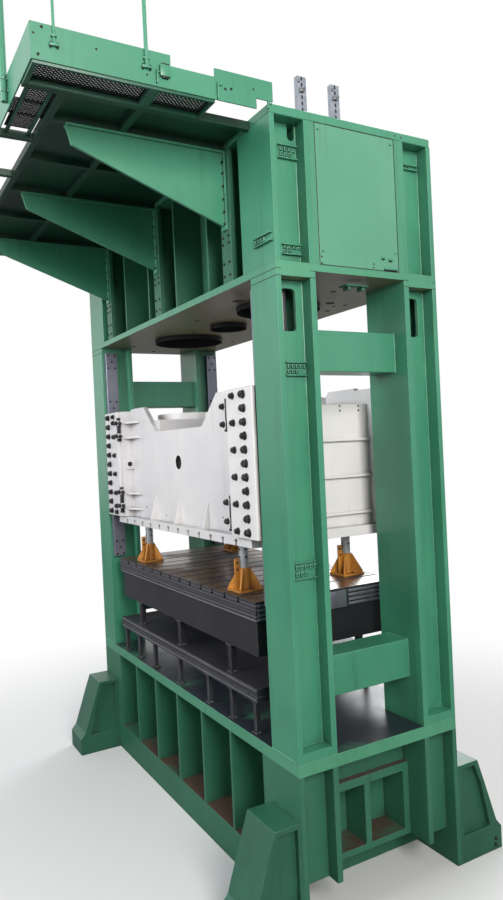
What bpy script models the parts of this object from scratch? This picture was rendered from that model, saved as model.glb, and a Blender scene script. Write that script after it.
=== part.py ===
# Four-column hydraulic press with a cantilevered service platform, standing in its pit.
# Metres, Z up, floor at Z = 0. The front faces -Y and the frame is even about X = 0 and Y = 0.
import math

import bpy
import bmesh

NAME = "hydraulic_press"
MATE = 0.0003

# Frame envelope and plate thicknesses
HALF_WIDTH = 2.763
HALF_DEPTH = 0.970
FACE_PLATE = 0.050
INNER_PLATE = 0.060
OPENING_HALF = HALF_DEPTH - 0.430
WEB_PLATE = 0.040
SIDE_RECESS = 0.148
COLUMN_FACE_WIDTH = 0.468
INNER_PLATE_WIDTH = 0.603

# Heights of the frame
FLOOR_Z = 0.0
BED_RECESS_Z = 0.344
BED_DECK_Z = 1.540
BED_DECK_PLATE = 0.120
FOOT_PAD = 0.085
COLUMN_TOP_Z = 5.976
CROWN_PAD = 0.064
CROWN_FLOOR_PLATE = 0.070
CROWN_TOP_Z = 7.526
CROWN_ROOF_PLATE = 0.086

# Lightening slot near the head of each column
SLOT_WIDTH = 0.165
SLOT_HEIGHT = 0.400
SLOT_TOP_DROP = 0.078
SLOT_RADIUS = 0.045

# Cross beams between front and rear columns
BEAM_OUT_X = HALF_WIDTH - 0.188
BEAM_WIDTH = 0.327
UPPER_BEAM_Z = (5.132, 5.531)
LOWER_BEAM_Z = (1.997, 2.387)

# Guide rails on the columns
RAIL_THICK = 0.082
RAIL_Y = (HALF_DEPTH - 0.210, HALF_DEPTH - 0.035)
RAIL_Z = (2.880, 5.955)

# Tie rods inside the columns
TIE_ROD_RADIUS = 0.065
TIE_ROD_CLEARANCE = 0.006
TIE_NUT_RADIUS = 0.108
TIE_NUT_HEIGHT = 0.130
TIE_ROD_STUB = 0.090

# Bed pockets and feet
BED_CORE_X = HALF_WIDTH - 0.613
BED_CORE_Y = OPENING_HALF + INNER_PLATE
BED_RIB_COUNT = 7
BED_RIB_PITCH = 2 * (HALF_WIDTH - 0.642) / (BED_RIB_COUNT - 1)
BED_RIB = 0.040
SIDE_FRAME_X = HALF_WIDTH - 0.278
SIDE_POCKET_DEPTH = 0.330
SIDE_FLANGE_LOW = 0.066
SIDE_FLANGE_Z = (1.008, 1.094)
SIDE_RIB = 0.070
FOOT_WIDTH = 0.500
FOOT_TOP_Z = 1.020
FOOT_TOP_REACH = 0.285
FOOT_REACH = 0.600
FOOT_BLOCK_Z = 0.230
FOOT_SKIN = 0.045

# Crown
CROWN_CORE_Y = HALF_DEPTH - 0.410
CROWN_BAR_X = HALF_WIDTH - 0.916
CROWN_BAR_WIDTH = 0.200
CROWN_BAR_THICK = 0.050
CROWN_RIB = 0.030
CROWN_RIB_SHARES = (0.2344, 0.7033)
CROWN_RIB_SETBACK = 0.055
COVER_HALF_WIDTH = OPENING_HALF - 0.060
COVER_THICK = 0.022
BORE_X = CROWN_BAR_X * 2 / 3
BORE_RADIUS = 0.483
CENTRE_BORE_RADIUS = 0.240
BORE_DEPTH = 0.950

# Bolster, lower table and their posts
BOLSTER_HALF = (HALF_WIDTH - 0.753, HALF_DEPTH - 0.044)
BOLSTER_TOP_Z = 2.883
BOLSTER_PLATE = 0.110
BOLSTER_BAND = 0.195
BOLSTER_BOTTOM_Z = 2.323
BOLSTER_INSET = 0.030
BAND_GROOVE = 0.012
TSLOT_COUNT = 12
TSLOT_EDGE = 0.360
TSLOT_PITCH = 2 * (BOLSTER_HALF[0] - TSLOT_EDGE) / (TSLOT_COUNT - 1)
TSLOT_NECK = 0.036
TSLOT_HEAD = 0.060
TSLOT_NECK_DEPTH = 0.038
TSLOT_DEPTH = 0.066
TABLE_HALF = (BOLSTER_HALF[0] - 0.022, BOLSTER_HALF[1] + 0.017)
TABLE_Z = (1.870, 2.013)
SPACER_SIDE = 0.070
SPACER_X = TABLE_HALF[0] * 0.674
SPACER_Y = BOLSTER_HALF[1] - 0.066
POST_SIDE = 0.050
POST_SHARES = (0.0, 0.4125, 0.6992, 0.9557)
POST_Y = TABLE_HALF[1] - 0.043

# Slide
SLIDE_BASE_HALF = (BOLSTER_HALF[0] - 0.025, BOLSTER_HALF[1] - 0.011)
SLIDE_BASE_Z = (3.418, 3.520)
SLIDE_CORE_X = HALF_WIDTH - 0.893
SLIDE_DECK_Z = 4.860
SLIDE_WELL_Z = 4.640
SLIDE_PLATE_Y = HALF_DEPTH - 0.172
SLIDE_PLATE = 0.060
SLIDE_PLATE_TOP = 5.057
NOTCH_BOTTOM_HALF = 0.707
NOTCH_TOP_HALF = NOTCH_BOTTOM_HALF + 0.410
NOTCH_Z = 4.700
SLIDE_WELL_HALF = NOTCH_BOTTOM_HALF - 0.007
EYE_RADIUS = 0.0875
EYE_Z = 4.286
BLOCK_X = (HALF_WIDTH - 1.143, HALF_WIDTH - COLUMN_FACE_WIDTH - RAIL_THICK - 0.008)
BLOCK_Y = (HALF_DEPTH - 0.250, HALF_DEPTH - 0.030)
BLOCK_Z = (3.524, 5.030)
GUIDE_X = (BLOCK_X[0] + 0.080, BLOCK_X[1] + 0.030)
GUIDE_THICK = 0.045
SIDE_RIB_Z = (3.662, 4.067, 4.469)
SIDE_RIB_REACH = 0.045
SIDE_RIB_THICK = 0.030
BRACE_Z = (3.634, 3.853, 4.651, 4.865)
BRACE_THICK = 0.030
BRACE_REACH = (0.340, 0.128)
LUG_Z = (3.680, 3.876, 4.680, 4.865)
LUG_SIZE = (0.062, 0.065, 0.070)
GUSSET_X = (-0.800, 0.0, 0.800)
GUSSET_THICK = 0.024
GUSSET_FOOT = 0.090
GUSSET_RISE = 0.320
SEAT_RADIUS = 0.500
SEAT_HEIGHT = 0.095
SEAT_HOLE_RADIUS = 0.200
SEAT_HOLE_DEPTH = 0.060

# Safety props between bolster and slide
PROP_X = SLIDE_BASE_HALF[0] - 0.595
PROP_Y = SLIDE_BASE_HALF[1] - 0.225
PROP_FOOT_HALF = 0.145
PROP_FOOT_THICK = 0.022
PROP_TUBE_RADIUS = 0.068
PROP_TUBE_HEIGHT = 0.250
PROP_BORE_CLEARANCE = 0.0003
PROP_POST_RADIUS = 0.052
PROP_HEAD_RADIUS = 0.078
PROP_HEAD_THICK = 0.024
PROP_FLOOR = 0.030
PROP_TRAVEL = 0.100
PROP_FIN_THICK = 0.018

# Platform carried on the crown
PLATFORM_FRONT_Y = -HALF_DEPTH - 2.095
PLATFORM_WALL = 0.012
FASCIA_Z = (7.444, 7.729)
FASCIA_NOTCH_Z = 7.638
FASCIA_NOTCH_Y = (PLATFORM_FRONT_Y + 1.150, PLATFORM_FRONT_Y + 1.560)
FASCIA_END_Y = -HALF_DEPTH + 0.049
FASCIA_STEP_Y = -HALF_DEPTH - 0.124
FASCIA_STEP_Z = 7.537
DECK_Z = 7.500
DECK_PLATE = 0.014
GRATING_THICK = 0.030
JOIST_DEPTH = 0.066
JOIST_WIDTH = 0.060
JOIST_SHARES = (-1.0, -0.5, 0.0, 0.5, 1.0)
EDGE_JOIST_X = HALF_WIDTH - 0.383
BEARER_Y = (PLATFORM_FRONT_Y + 0.345, PLATFORM_FRONT_Y + 1.025)
STRIP_JOIST_X = EDGE_JOIST_X - 1.010
STRIP_PITCH = 0.960
STRIP_COUNT = 4
BRACKET_REACH_Y = PLATFORM_FRONT_Y + 0.502
BRACKET_TIP = (0.020, 0.182)
BRACKET_ROOT_Z = 6.660
BRACKET_PLATE = 0.030
BRACKET_FLANGE = 0.100
BRACKET_FLANGE_THICK = 0.020
POST_TUBE_RADIUS = 0.030
POST_TUBE_OFFSET = 0.041
POST_RODS = ((0.931, 0.017), (0.179, 0.012))
POST_HEIGHT = 0.950

# Perforated channels standing on the crown
CHANNEL_Y = (-0.555, -0.170)
CHANNEL_X = HALF_WIDTH - 0.063
CHANNEL_WIDTH = 0.100
CHANNEL_DEPTH = 0.050
CHANNEL_WALL = 0.006
CHANNEL_HEIGHT = 0.350

GREEN = (0.050, 0.245, 0.128)
GREEN_DARK = (0.030, 0.150, 0.090)
WHITE = (0.745, 0.720, 0.715)
CHARCOAL = (0.042, 0.040, 0.052)
RAIL_STEEL = (0.190, 0.200, 0.260)
ORANGE = (0.720, 0.300, 0.020)
POST_STEEL = (0.520, 0.540, 0.560)
ZINC = (0.560, 0.580, 0.600)
ROD_STEEL = (0.250, 0.250, 0.260)

nodes = bpy.data.collections.new(NAME)
tools = bpy.data.collections.new(NAME + "_tools")
materials = {}


def clear_scene():
    for item in list(bpy.data.objects):
        bpy.data.objects.remove(item, do_unlink=True)
    bpy.context.scene.collection.children.link(nodes)
    bpy.context.scene.collection.children.link(tools)


def material_for(name, colour, metallic, roughness):
    made = bpy.data.materials.new(name + "_material")
    made.use_nodes = True
    shader = made.node_tree.nodes["Principled BSDF"]
    shader.inputs["Base Color"].default_value = (*colour, 1.0)
    shader.inputs["Metallic"].default_value = metallic
    shader.inputs["Roughness"].default_value = roughness
    made.diffuse_color = (*colour, 1.0)
    return made


def place(item, name, group):
    for owner in list(item.users_collection):
        owner.objects.unlink(item)
    group.objects.link(item)
    item.name = name
    item.data.name = name + "_mesh"


def finish(item, name, colour, metallic=0.0, roughness=0.5):
    place(item, name, nodes)
    item.data.materials.clear()
    item.data.materials.append(material_for(name, colour, metallic, roughness))
    return item


def as_tool(item, name):
    place(item, name, tools)
    item.hide_render = True
    item.display_type = "WIRE"
    return item


def box(x, y, z):
    low = [min(x), min(y), min(z)]
    high = [max(x), max(y), max(z)]
    centre = [(a + b) / 2 for a, b in zip(low, high)]
    bpy.ops.mesh.primitive_cube_add(size=1.0, location=centre)
    made = bpy.context.active_object
    made.scale = [b - a for a, b in zip(low, high)]
    bpy.ops.object.transform_apply(location=False, rotation=False, scale=True)
    return made


def cylinder(centre, radius, z, sides=32):
    middle = (min(z) + max(z)) / 2
    bpy.ops.mesh.primitive_cylinder_add(
        vertices=sides, radius=radius, depth=max(z) - min(z), location=(*centre, middle)
    )
    return bpy.context.active_object


# An outline drawn as a flat curve and extruded between two stations of one axis.
# Its points are (x, y) along Z, (y, z) along X and (x, z) along Y.
def prism(outline, axis, start, end):
    shape = bpy.data.curves.new("outline", "CURVE")
    shape.dimensions = "2D"
    shape.fill_mode = "NONE"
    shape.extrude = abs(end - start) / 2
    spline = shape.splines.new("POLY")
    spline.points.add(len(outline) - 1)
    for point, (u, v) in zip(spline.points, outline):
        point.co = (u, v, 0.0, 1.0)
    spline.use_cyclic_u = True
    drawn = bpy.data.objects.new("outline", shape)
    tools.objects.link(drawn)
    middle = (start + end) / 2
    if axis == "Z":
        drawn.location = (0.0, 0.0, middle)
    elif axis == "X":
        drawn.rotation_euler = (math.pi / 2, 0.0, math.pi / 2)
        drawn.location = (middle, 0.0, 0.0)
    else:
        drawn.rotation_euler = (math.pi / 2, 0.0, 0.0)
        drawn.location = (0.0, middle, 0.0)
    bpy.context.view_layer.update()
    evaluated = drawn.evaluated_get(bpy.context.evaluated_depsgraph_get())
    mesh = bpy.data.meshes.new_from_object(evaluated)
    mesh.transform(drawn.matrix_world)
    body = bmesh.new()
    body.from_mesh(mesh)
    bmesh.ops.remove_doubles(body, verts=body.verts, dist=0.00005)
    bmesh.ops.holes_fill(body, edges=body.edges)
    bmesh.ops.recalc_face_normals(body, faces=body.faces)
    body.to_mesh(mesh)
    body.free()
    bpy.data.objects.remove(drawn, do_unlink=True)
    made = bpy.data.objects.new("prism", mesh)
    bpy.context.scene.collection.objects.link(made)
    return made


def combine(target, operation, operands):
    for index, other in enumerate(operands):
        as_tool(other, f"{target.name}_{operation.lower()}_{index}")
        step = target.modifiers.new(operation.title(), "BOOLEAN")
        step.operation = operation
        step.solver = "EXACT"
        step.object = other


def fuse(target, *others):
    combine(target, "UNION", others)


def cut(target, *others):
    combine(target, "DIFFERENCE", others)


def rounded_rectangle(width, height, radius, centre, steps=4):
    outline = []
    for corner, (sx, sy) in enumerate(((1, 1), (-1, 1), (-1, -1), (1, -1))):
        for step in range(steps + 1):
            angle = math.pi / 2 * (corner + step / steps)
            outline.append((
                centre[0] + sx * (width / 2 - radius) + radius * math.cos(angle),
                centre[1] + sy * (height / 2 - radius) + radius * math.sin(angle),
            ))
    return outline


def mirrored(outline, sx, sy):
    return [(sx * u, sy * v) for u, v in outline]


def corners():
    for sy, depth in ((-1, "front"), (1, "rear")):
        for sx, hand in ((1, "right"), (-1, "left")):
            yield sx, sy, f"{depth}_{hand}"


def sides():
    for sx, hand in ((1, "right"), (-1, "left")):
        yield sx, hand


def smooth_round(item, angle=30.0):
    for face in item.data.polygons:
        face.use_smooth = True
    item.data.set_sharp_from_angle(angle=math.radians(angle))


# Section that columns, crown corners and bed corners share, seen from above at +X, +Y
WEB_OUT_X = HALF_WIDTH - SIDE_RECESS
FACE_IN_Y = HALF_DEPTH - FACE_PLATE
INNER_OUT_Y = OPENING_HALF + INNER_PLATE
COLUMN_FACE_X = HALF_WIDTH - COLUMN_FACE_WIDTH
INNER_X = HALF_WIDTH - INNER_PLATE_WIDTH
CAVITY_X = (COLUMN_FACE_X + WEB_PLATE, WEB_OUT_X - WEB_PLATE)
CAVITY_Y = (INNER_OUT_Y, FACE_IN_Y)
TIE_ROD_AT = (sum(CAVITY_X) / 2, sum(CAVITY_Y) / 2)
DECK_UNDER_Z = BED_DECK_Z - BED_DECK_PLATE
CROWN_FLOOR_Z = COLUMN_TOP_Z + CROWN_PAD
CROWN_INSIDE_Z = CROWN_FLOOR_Z + CROWN_FLOOR_PLATE
CROWN_ROOF_Z = CROWN_TOP_Z - CROWN_ROOF_PLATE


def corner_section(face_x):
    return [
        (INNER_X, OPENING_HALF),
        (HALF_WIDTH, OPENING_HALF),
        (HALF_WIDTH, INNER_OUT_Y),
        (WEB_OUT_X, INNER_OUT_Y),
        (WEB_OUT_X, FACE_IN_Y),
        (HALF_WIDTH, FACE_IN_Y),
        (HALF_WIDTH, HALF_DEPTH),
        (face_x, HALF_DEPTH),
        (face_x, INNER_OUT_Y),
        (INNER_X, INNER_OUT_Y),
    ]


def cavity(sx, sy, inner_x, z):
    return box((sx * inner_x, sx * CAVITY_X[1]), (sy * CAVITY_Y[0], sy * CAVITY_Y[1]), z)


def rod_hole(sx, sy, z):
    centre = (sx * TIE_ROD_AT[0], sy * TIE_ROD_AT[1])
    return cylinder(centre, TIE_ROD_RADIUS + TIE_ROD_CLEARANCE, z, 16)


def make_columns():
    foot_z = BED_DECK_Z + MATE
    slot_z = COLUMN_TOP_Z - SLOT_TOP_DROP - SLOT_HEIGHT / 2
    for sx, sy, place_name in corners():
        outline = mirrored(corner_section(COLUMN_FACE_X), sx, sy)
        hollow = cavity(sx, sy, CAVITY_X[0], (foot_z - 0.05, COLUMN_TOP_Z + 0.05))
        post = prism(outline, "Z", foot_z, COLUMN_TOP_Z)
        finish(post, f"column_{place_name}", GREEN)
        pad = box(
            (sx * (WEB_OUT_X - 0.01), sx * HALF_WIDTH),
            (sy * (INNER_OUT_Y - 0.01), sy * (FACE_IN_Y + 0.01)),
            (foot_z, foot_z + FOOT_PAD),
        )
        fuse(post, pad)
        centre = (sy * TIE_ROD_AT[1], slot_z)
        outline = rounded_rectangle(SLOT_WIDTH, SLOT_HEIGHT, SLOT_RADIUS, centre)
        slot = prism(outline, "X", sx * (CAVITY_X[1] - 0.01), sx * (WEB_OUT_X + 0.01))
        cut(post, hollow, slot)


def make_beams():
    reach = OPENING_HALF - MATE
    x = (BEAM_OUT_X - BEAM_WIDTH, BEAM_OUT_X)
    for sx, hand in sides():
        for level, z in (("upper", UPPER_BEAM_Z), ("lower", LOWER_BEAM_Z)):
            beam = box((sx * x[0], sx * x[1]), (-reach, reach), z)
            finish(beam, f"cross_beam_{level}_{hand}", GREEN)
            edge = beam.modifiers.new("Edges", "BEVEL")
            edge.width = 0.006
            edge.segments = 1


def make_rails():
    for sx, sy, place_name in corners():
        outer = COLUMN_FACE_X - MATE
        rail = box((sx * (outer - RAIL_THICK), sx * outer), (sy * RAIL_Y[0], sy * RAIL_Y[1]), RAIL_Z)
        finish(rail, f"guide_rail_{place_name}", RAIL_STEEL, 0.6, 0.4)
        edge = rail.modifiers.new("Edges", "BEVEL")
        edge.width = 0.004
        edge.segments = 1


def make_tie_rods():
    low = DECK_UNDER_Z - MATE
    high = CROWN_INSIDE_Z + MATE
    for sx, sy, place_name in corners():
        centre = (sx * TIE_ROD_AT[0], sy * TIE_ROD_AT[1])
        reach = TIE_NUT_HEIGHT + TIE_ROD_STUB
        rod = cylinder(centre, TIE_ROD_RADIUS, (low - reach, high + reach), 16)
        finish(rod, f"tie_rod_{place_name}", ROD_STEEL, 0.8, 0.4)
        lower_nut = cylinder(centre, TIE_NUT_RADIUS, (low - TIE_NUT_HEIGHT, low), 6)
        upper_nut = cylinder(centre, TIE_NUT_RADIUS, (high, high + TIE_NUT_HEIGHT), 6)
        fuse(rod, lower_nut, upper_nut)
        smooth_round(rod)


def rib_stations():
    first = -(BED_RIB_COUNT - 1) / 2 * BED_RIB_PITCH
    return [first + index * BED_RIB_PITCH for index in range(BED_RIB_COUNT)]


# Outline of the bed from above: core, front and rear ribs and the four corner sections
def bed_outline():
    ribs = rib_stations()
    front = []
    for index, station in enumerate(ribs):
        left = station - BED_RIB / 2
        right = station + BED_RIB / 2
        if index > 0:
            front += [(left, -BED_CORE_Y), (left, -HALF_DEPTH)]
        if index < len(ribs) - 1:
            front += [(right, -HALF_DEPTH), (right, -BED_CORE_Y)]
    right_side = [
        (HALF_WIDTH, -HALF_DEPTH),
        (HALF_WIDTH, -FACE_IN_Y),
        (WEB_OUT_X, -FACE_IN_Y),
        (WEB_OUT_X, -INNER_OUT_Y),
        (HALF_WIDTH, -INNER_OUT_Y),
        (HALF_WIDTH, -OPENING_HALF),
        (SIDE_FRAME_X, -OPENING_HALF),
    ]
    right_half = right_side + [(x, -y) for x, y in reversed(right_side)]
    rear = [(-x, -y) for x, y in front]
    left_half = [(-x, -y) for x, y in right_half]
    return front + right_half + rear + left_half


def make_bed():
    top = DECK_UNDER_Z - MATE
    bed = prism(bed_outline(), "Z", BED_RECESS_Z, top)
    finish(bed, "bed_body", GREEN)
    plinth = [
        (HALF_WIDTH, -HALF_DEPTH),
        (HALF_WIDTH, -FACE_IN_Y),
        (BED_CORE_X, -FACE_IN_Y),
    ]
    plinth += [(x, -y) for x, y in reversed(plinth)]
    plinth += [(-x, -y) for x, y in plinth]
    fuse(bed, prism(plinth, "Z", FLOOR_Z, BED_RECESS_Z + 0.02))
    for sx, sy, place_name in corners():
        cut(bed, cavity(sx, sy, CAVITY_X[0], (BED_RECESS_Z - 0.05, top + 0.05)))
    flange_z = (BED_RECESS_Z + SIDE_FLANGE_LOW, SIDE_FLANGE_Z[0])
    pocket_back = SIDE_FRAME_X - SIDE_POCKET_DEPTH
    bays = 2
    bay = (2 * OPENING_HALF - (bays + 1) * SIDE_RIB) / bays
    for sx, hand in sides():
        for index in range(bays):
            start = -OPENING_HALF + SIDE_RIB + index * (bay + SIDE_RIB)
            cut(bed, box((sx * pocket_back, sx * (SIDE_FRAME_X + 0.02)), (start, start + bay), flange_z))
        upper = box(
            (sx * (SIDE_FRAME_X - 0.070), sx * (SIDE_FRAME_X + 0.02)),
            (-OPENING_HALF + 0.002, OPENING_HALF - 0.002),
            (SIDE_FLANGE_Z[1], top + 0.05),
        )
        cut(bed, upper)


def make_bed_deck():
    deck = box((-HALF_WIDTH, HALF_WIDTH), (-HALF_DEPTH, HALF_DEPTH), (DECK_UNDER_Z, BED_DECK_Z))
    finish(deck, "bed_deck", GREEN)
    for sx, sy, place_name in corners():
        cut(deck, rod_hole(sx, sy, (DECK_UNDER_Z - 0.05, BED_DECK_Z + 0.05)))


def make_feet():
    reach = HALF_DEPTH + FOOT_REACH
    crest = HALF_DEPTH + FOOT_TOP_REACH
    knee = crest + 0.090
    inner = HALF_DEPTH + MATE
    skirt = reach - 0.070
    outline = [
        (inner, FLOOR_Z),
        (reach, FLOOR_Z),
        (reach, FOOT_BLOCK_Z),
        (skirt, FOOT_BLOCK_Z + 0.085),
        (knee, FOOT_TOP_Z - 0.250),
        (crest, FOOT_TOP_Z),
        (inner, FOOT_TOP_Z),
    ]
    hollow = [
        (inner + FOOT_SKIN, FOOT_BLOCK_Z + FOOT_SKIN),
        (skirt - 2 * FOOT_SKIN, FOOT_BLOCK_Z + FOOT_SKIN),
        (knee - FOOT_SKIN, FOOT_TOP_Z - 0.260),
        (crest - FOOT_SKIN, FOOT_TOP_Z - FOOT_SKIN),
        (inner + FOOT_SKIN, FOOT_TOP_Z - FOOT_SKIN),
    ]
    for sx, sy, place_name in corners():
        outer_x = sx * HALF_WIDTH
        inner_x = sx * (HALF_WIDTH - FOOT_WIDTH)
        foot = prism([(sy * y, z) for y, z in outline], "X", inner_x, outer_x)
        finish(foot, f"foot_{place_name}", GREEN_DARK)
        for face, step in ((outer_x, -sx), (inner_x, sx)):
            pocket = prism([(sy * y, z) for y, z in hollow], "X", face - step * 0.02, face + step * 0.060)
            cut(foot, pocket)


def make_crown_floor():
    plate = box((-HALF_WIDTH, HALF_WIDTH), (-HALF_DEPTH, HALF_DEPTH), (CROWN_FLOOR_Z, CROWN_INSIDE_Z))
    finish(plate, "crown_floor", GREEN)
    pad_outline = [
        (INNER_X, OPENING_HALF),
        (HALF_WIDTH, OPENING_HALF),
        (HALF_WIDTH, HALF_DEPTH),
        (COLUMN_FACE_X, HALF_DEPTH),
        (COLUMN_FACE_X, INNER_OUT_Y),
        (INNER_X, INNER_OUT_Y),
    ]
    for sx, sy, place_name in corners():
        pad_z = (COLUMN_TOP_Z + MATE, CROWN_FLOOR_Z + 0.01)
        fuse(plate, prism(mirrored(pad_outline, sx, sy), "Z", *pad_z))
    for sx, sy, place_name in corners():
        cut(plate, rod_hole(sx, sy, (COLUMN_TOP_Z - 0.05, CROWN_INSIDE_Z + 0.05)))
    bore_z = (CROWN_FLOOR_Z - 0.05, CROWN_INSIDE_Z + 0.05)
    for x, radius in ((-BORE_X, BORE_RADIUS), (0.0, CENTRE_BORE_RADIUS), (BORE_X, BORE_RADIUS)):
        cut(plate, cylinder((x, 0.0), radius, bore_z, 48))


# Half outline of the crown core on one long side, running towards +X, at y below zero
def crown_long_side():
    outline = []
    thin = [sign * share * CROWN_BAR_X for sign in (-1, 1) for share in CROWN_RIB_SHARES]
    bars = [-CROWN_BAR_X, 0.0, CROWN_BAR_X]
    stations = sorted([(x, "rib") for x in thin] + [(x, "bar") for x in bars])
    edge = HALF_DEPTH - CROWN_RIB_SETBACK
    for x, kind in stations:
        half = CROWN_RIB / 2
        if kind == "rib":
            outline += [(x - half, -CROWN_CORE_Y), (x - half, -edge)]
            outline += [(x + half, -edge), (x + half, -CROWN_CORE_Y)]
        else:
            flange = CROWN_BAR_WIDTH / 2
            back = HALF_DEPTH - CROWN_BAR_THICK
            outline += [(x - half, -CROWN_CORE_Y), (x - half, -back), (x - flange, -back)]
            outline += [(x - flange, -HALF_DEPTH), (x + flange, -HALF_DEPTH), (x + flange, -back)]
            outline += [(x + half, -back), (x + half, -CROWN_CORE_Y)]
    return outline


def make_crown_body():
    floor = CROWN_INSIDE_Z + MATE
    roof = CROWN_ROOF_Z - MATE
    inner = INNER_X - MATE
    jamb = OPENING_HALF - MATE
    seat = HALF_WIDTH - COVER_THICK - MATE
    right = [
        (inner, -CROWN_CORE_Y),
        (inner, -jamb),
        (HALF_WIDTH, -jamb),
        (HALF_WIDTH, -COVER_HALF_WIDTH - MATE),
        (seat, -COVER_HALF_WIDTH - MATE),
    ]
    right += [(x, -y) for x, y in reversed(right)]
    long_side = crown_long_side()
    outline = long_side + right + [(-x, -y) for x, y in long_side] + [(-x, -y) for x, y in right]
    core = prism(outline, "Z", floor, roof)
    finish(core, "crown_body", GREEN_DARK)
    for x, radius in ((-BORE_X, BORE_RADIUS), (0.0, CENTRE_BORE_RADIUS), (BORE_X, BORE_RADIUS)):
        cut(core, cylinder((x, 0.0), radius, (floor - 0.05, floor + BORE_DEPTH), 48))


def make_crown_corners():
    z = (CROWN_INSIDE_Z + MATE, CROWN_ROOF_Z - MATE)
    hole_z = CROWN_ROOF_Z - 0.060
    for sx, sy, place_name in corners():
        hollow = cavity(sx, sy, INNER_X + WEB_PLATE, (z[0] - 0.05, z[1] + 0.05))
        post = prism(mirrored(corner_section(INNER_X), sx, sy), "Z", *z)
        finish(post, f"crown_corner_{place_name}", GREEN)
        centre = (sy * (INNER_OUT_Y + 0.050), hole_z)
        mouse = prism(
            rounded_rectangle(0.080, 0.180, 0.038, centre), "X", sx * (CAVITY_X[1] - 0.02), sx * (WEB_OUT_X + 0.02)
        )
        cut(post, hollow, mouse)


def make_crown_roof():
    roof = box((-HALF_WIDTH, HALF_WIDTH), (-HALF_DEPTH, HALF_DEPTH), (CROWN_ROOF_Z, CROWN_TOP_Z))
    finish(roof, "crown_roof", GREEN)
    edge = roof.modifiers.new("Edges", "BEVEL")
    edge.width = 0.008
    edge.segments = 1


def make_covers():
    z = (CROWN_INSIDE_Z + 2 * MATE, CROWN_ROOF_Z - 2 * MATE)
    for sx, hand in sides():
        cover = box(
            (sx * (HALF_WIDTH - COVER_THICK), sx * HALF_WIDTH),
            (-COVER_HALF_WIDTH, COVER_HALF_WIDTH),
            z,
        )
        finish(cover, f"crown_cover_{hand}", GREEN)
        edge = cover.modifiers.new("Edges", "BEVEL")
        edge.width = 0.005
        edge.segments = 1


def slot_stations():
    first = -(TSLOT_COUNT - 1) / 2 * TSLOT_PITCH
    return [first + index * TSLOT_PITCH for index in range(TSLOT_COUNT)]


# Plate profile with T-slots in the face at z = face, opening towards direction
def slotted_profile(half, face, back, direction):
    neck = face - direction * TSLOT_NECK_DEPTH
    root = face - direction * TSLOT_DEPTH
    outline = [(-half, back), (-half, face)]
    for x in slot_stations():
        outline += [
            (x - TSLOT_NECK / 2, face),
            (x - TSLOT_NECK / 2, neck),
            (x - TSLOT_HEAD / 2, neck),
            (x - TSLOT_HEAD / 2, root),
            (x + TSLOT_HEAD / 2, root),
            (x + TSLOT_HEAD / 2, neck),
            (x + TSLOT_NECK / 2, neck),
            (x + TSLOT_NECK / 2, face),
        ]
    return outline + [(half, face), (half, back)]


def make_bolster():
    half_x, half_y = BOLSTER_HALF
    plate_z = BOLSTER_TOP_Z - BOLSTER_PLATE
    profile = slotted_profile(half_x, BOLSTER_TOP_Z, plate_z, 1)
    top = prism(profile, "Y", -half_y, half_y)
    finish(top, "bolster_top", CHARCOAL, 0.3, 0.35)
    band_z = BOLSTER_TOP_Z - BOLSTER_BAND
    body = box((-half_x, half_x), (-half_y, half_y), (band_z, plate_z - MATE))
    finish(body, "bolster_body", CHARCOAL, 0.3, 0.45)
    inset_x = half_x - BOLSTER_INSET
    inset_y = half_y - BOLSTER_INSET
    fuse(body, box((-inset_x, inset_x), (-inset_y, inset_y), (BOLSTER_BOTTOM_Z, band_z + 0.02)))
    foot_z = TABLE_Z[1] + MATE
    for x in (-SPACER_X, 0.0, SPACER_X):
        for y in (-SPACER_Y, SPACER_Y):
            reach = SPACER_SIDE / 2
            post = box((x - reach, x + reach), (y - reach, y + reach), (foot_z, BOLSTER_BOTTOM_Z + 0.03))
            fuse(body, post)
    groove_z = (band_z + 0.020, band_z + 0.034)
    for sy in (-1, 1):
        cut(body, box((-half_x - 0.01, half_x + 0.01), (sy * (half_y - BAND_GROOVE), sy * (half_y + 0.01)), groove_z))
    for sx in (-1, 1):
        cut(body, box((sx * (half_x - BAND_GROOVE), sx * (half_x + 0.01)), (-half_y - 0.01, half_y + 0.01), groove_z))


def make_table():
    half_x, half_y = TABLE_HALF
    table = box((-half_x, half_x), (-half_y, half_y), TABLE_Z)
    finish(table, "lower_table", CHARCOAL, 0.3, 0.45)
    stations = sorted({sign * share * half_x for share in POST_SHARES for sign in (-1, 1)})
    reach = POST_SIDE / 2
    for x in stations:
        for y in (-POST_Y, POST_Y):
            post = box((x - reach, x + reach), (y - reach, y + reach), (BED_DECK_Z + MATE, TABLE_Z[0] + 0.03))
            fuse(table, post)
    groove_z = (TABLE_Z[0] + 0.055, TABLE_Z[0] + 0.072)
    for sy in (-1, 1):
        cut(table, box((-half_x - 0.01, half_x + 0.01), (sy * (half_y - BAND_GROOVE), sy * (half_y + 0.01)), groove_z))
    for sx in (-1, 1):
        cut(table, box((sx * (half_x - BAND_GROOVE), sx * (half_x + 0.01)), (-half_y - 0.01, half_y + 0.01), groove_z))


def make_slide_base():
    half_x, half_y = SLIDE_BASE_HALF
    profile = slotted_profile(half_x, SLIDE_BASE_Z[0], SLIDE_BASE_Z[1], -1)
    base = prism(profile, "Y", -half_y, half_y)
    finish(base, "slide_base", WHITE)


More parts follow.
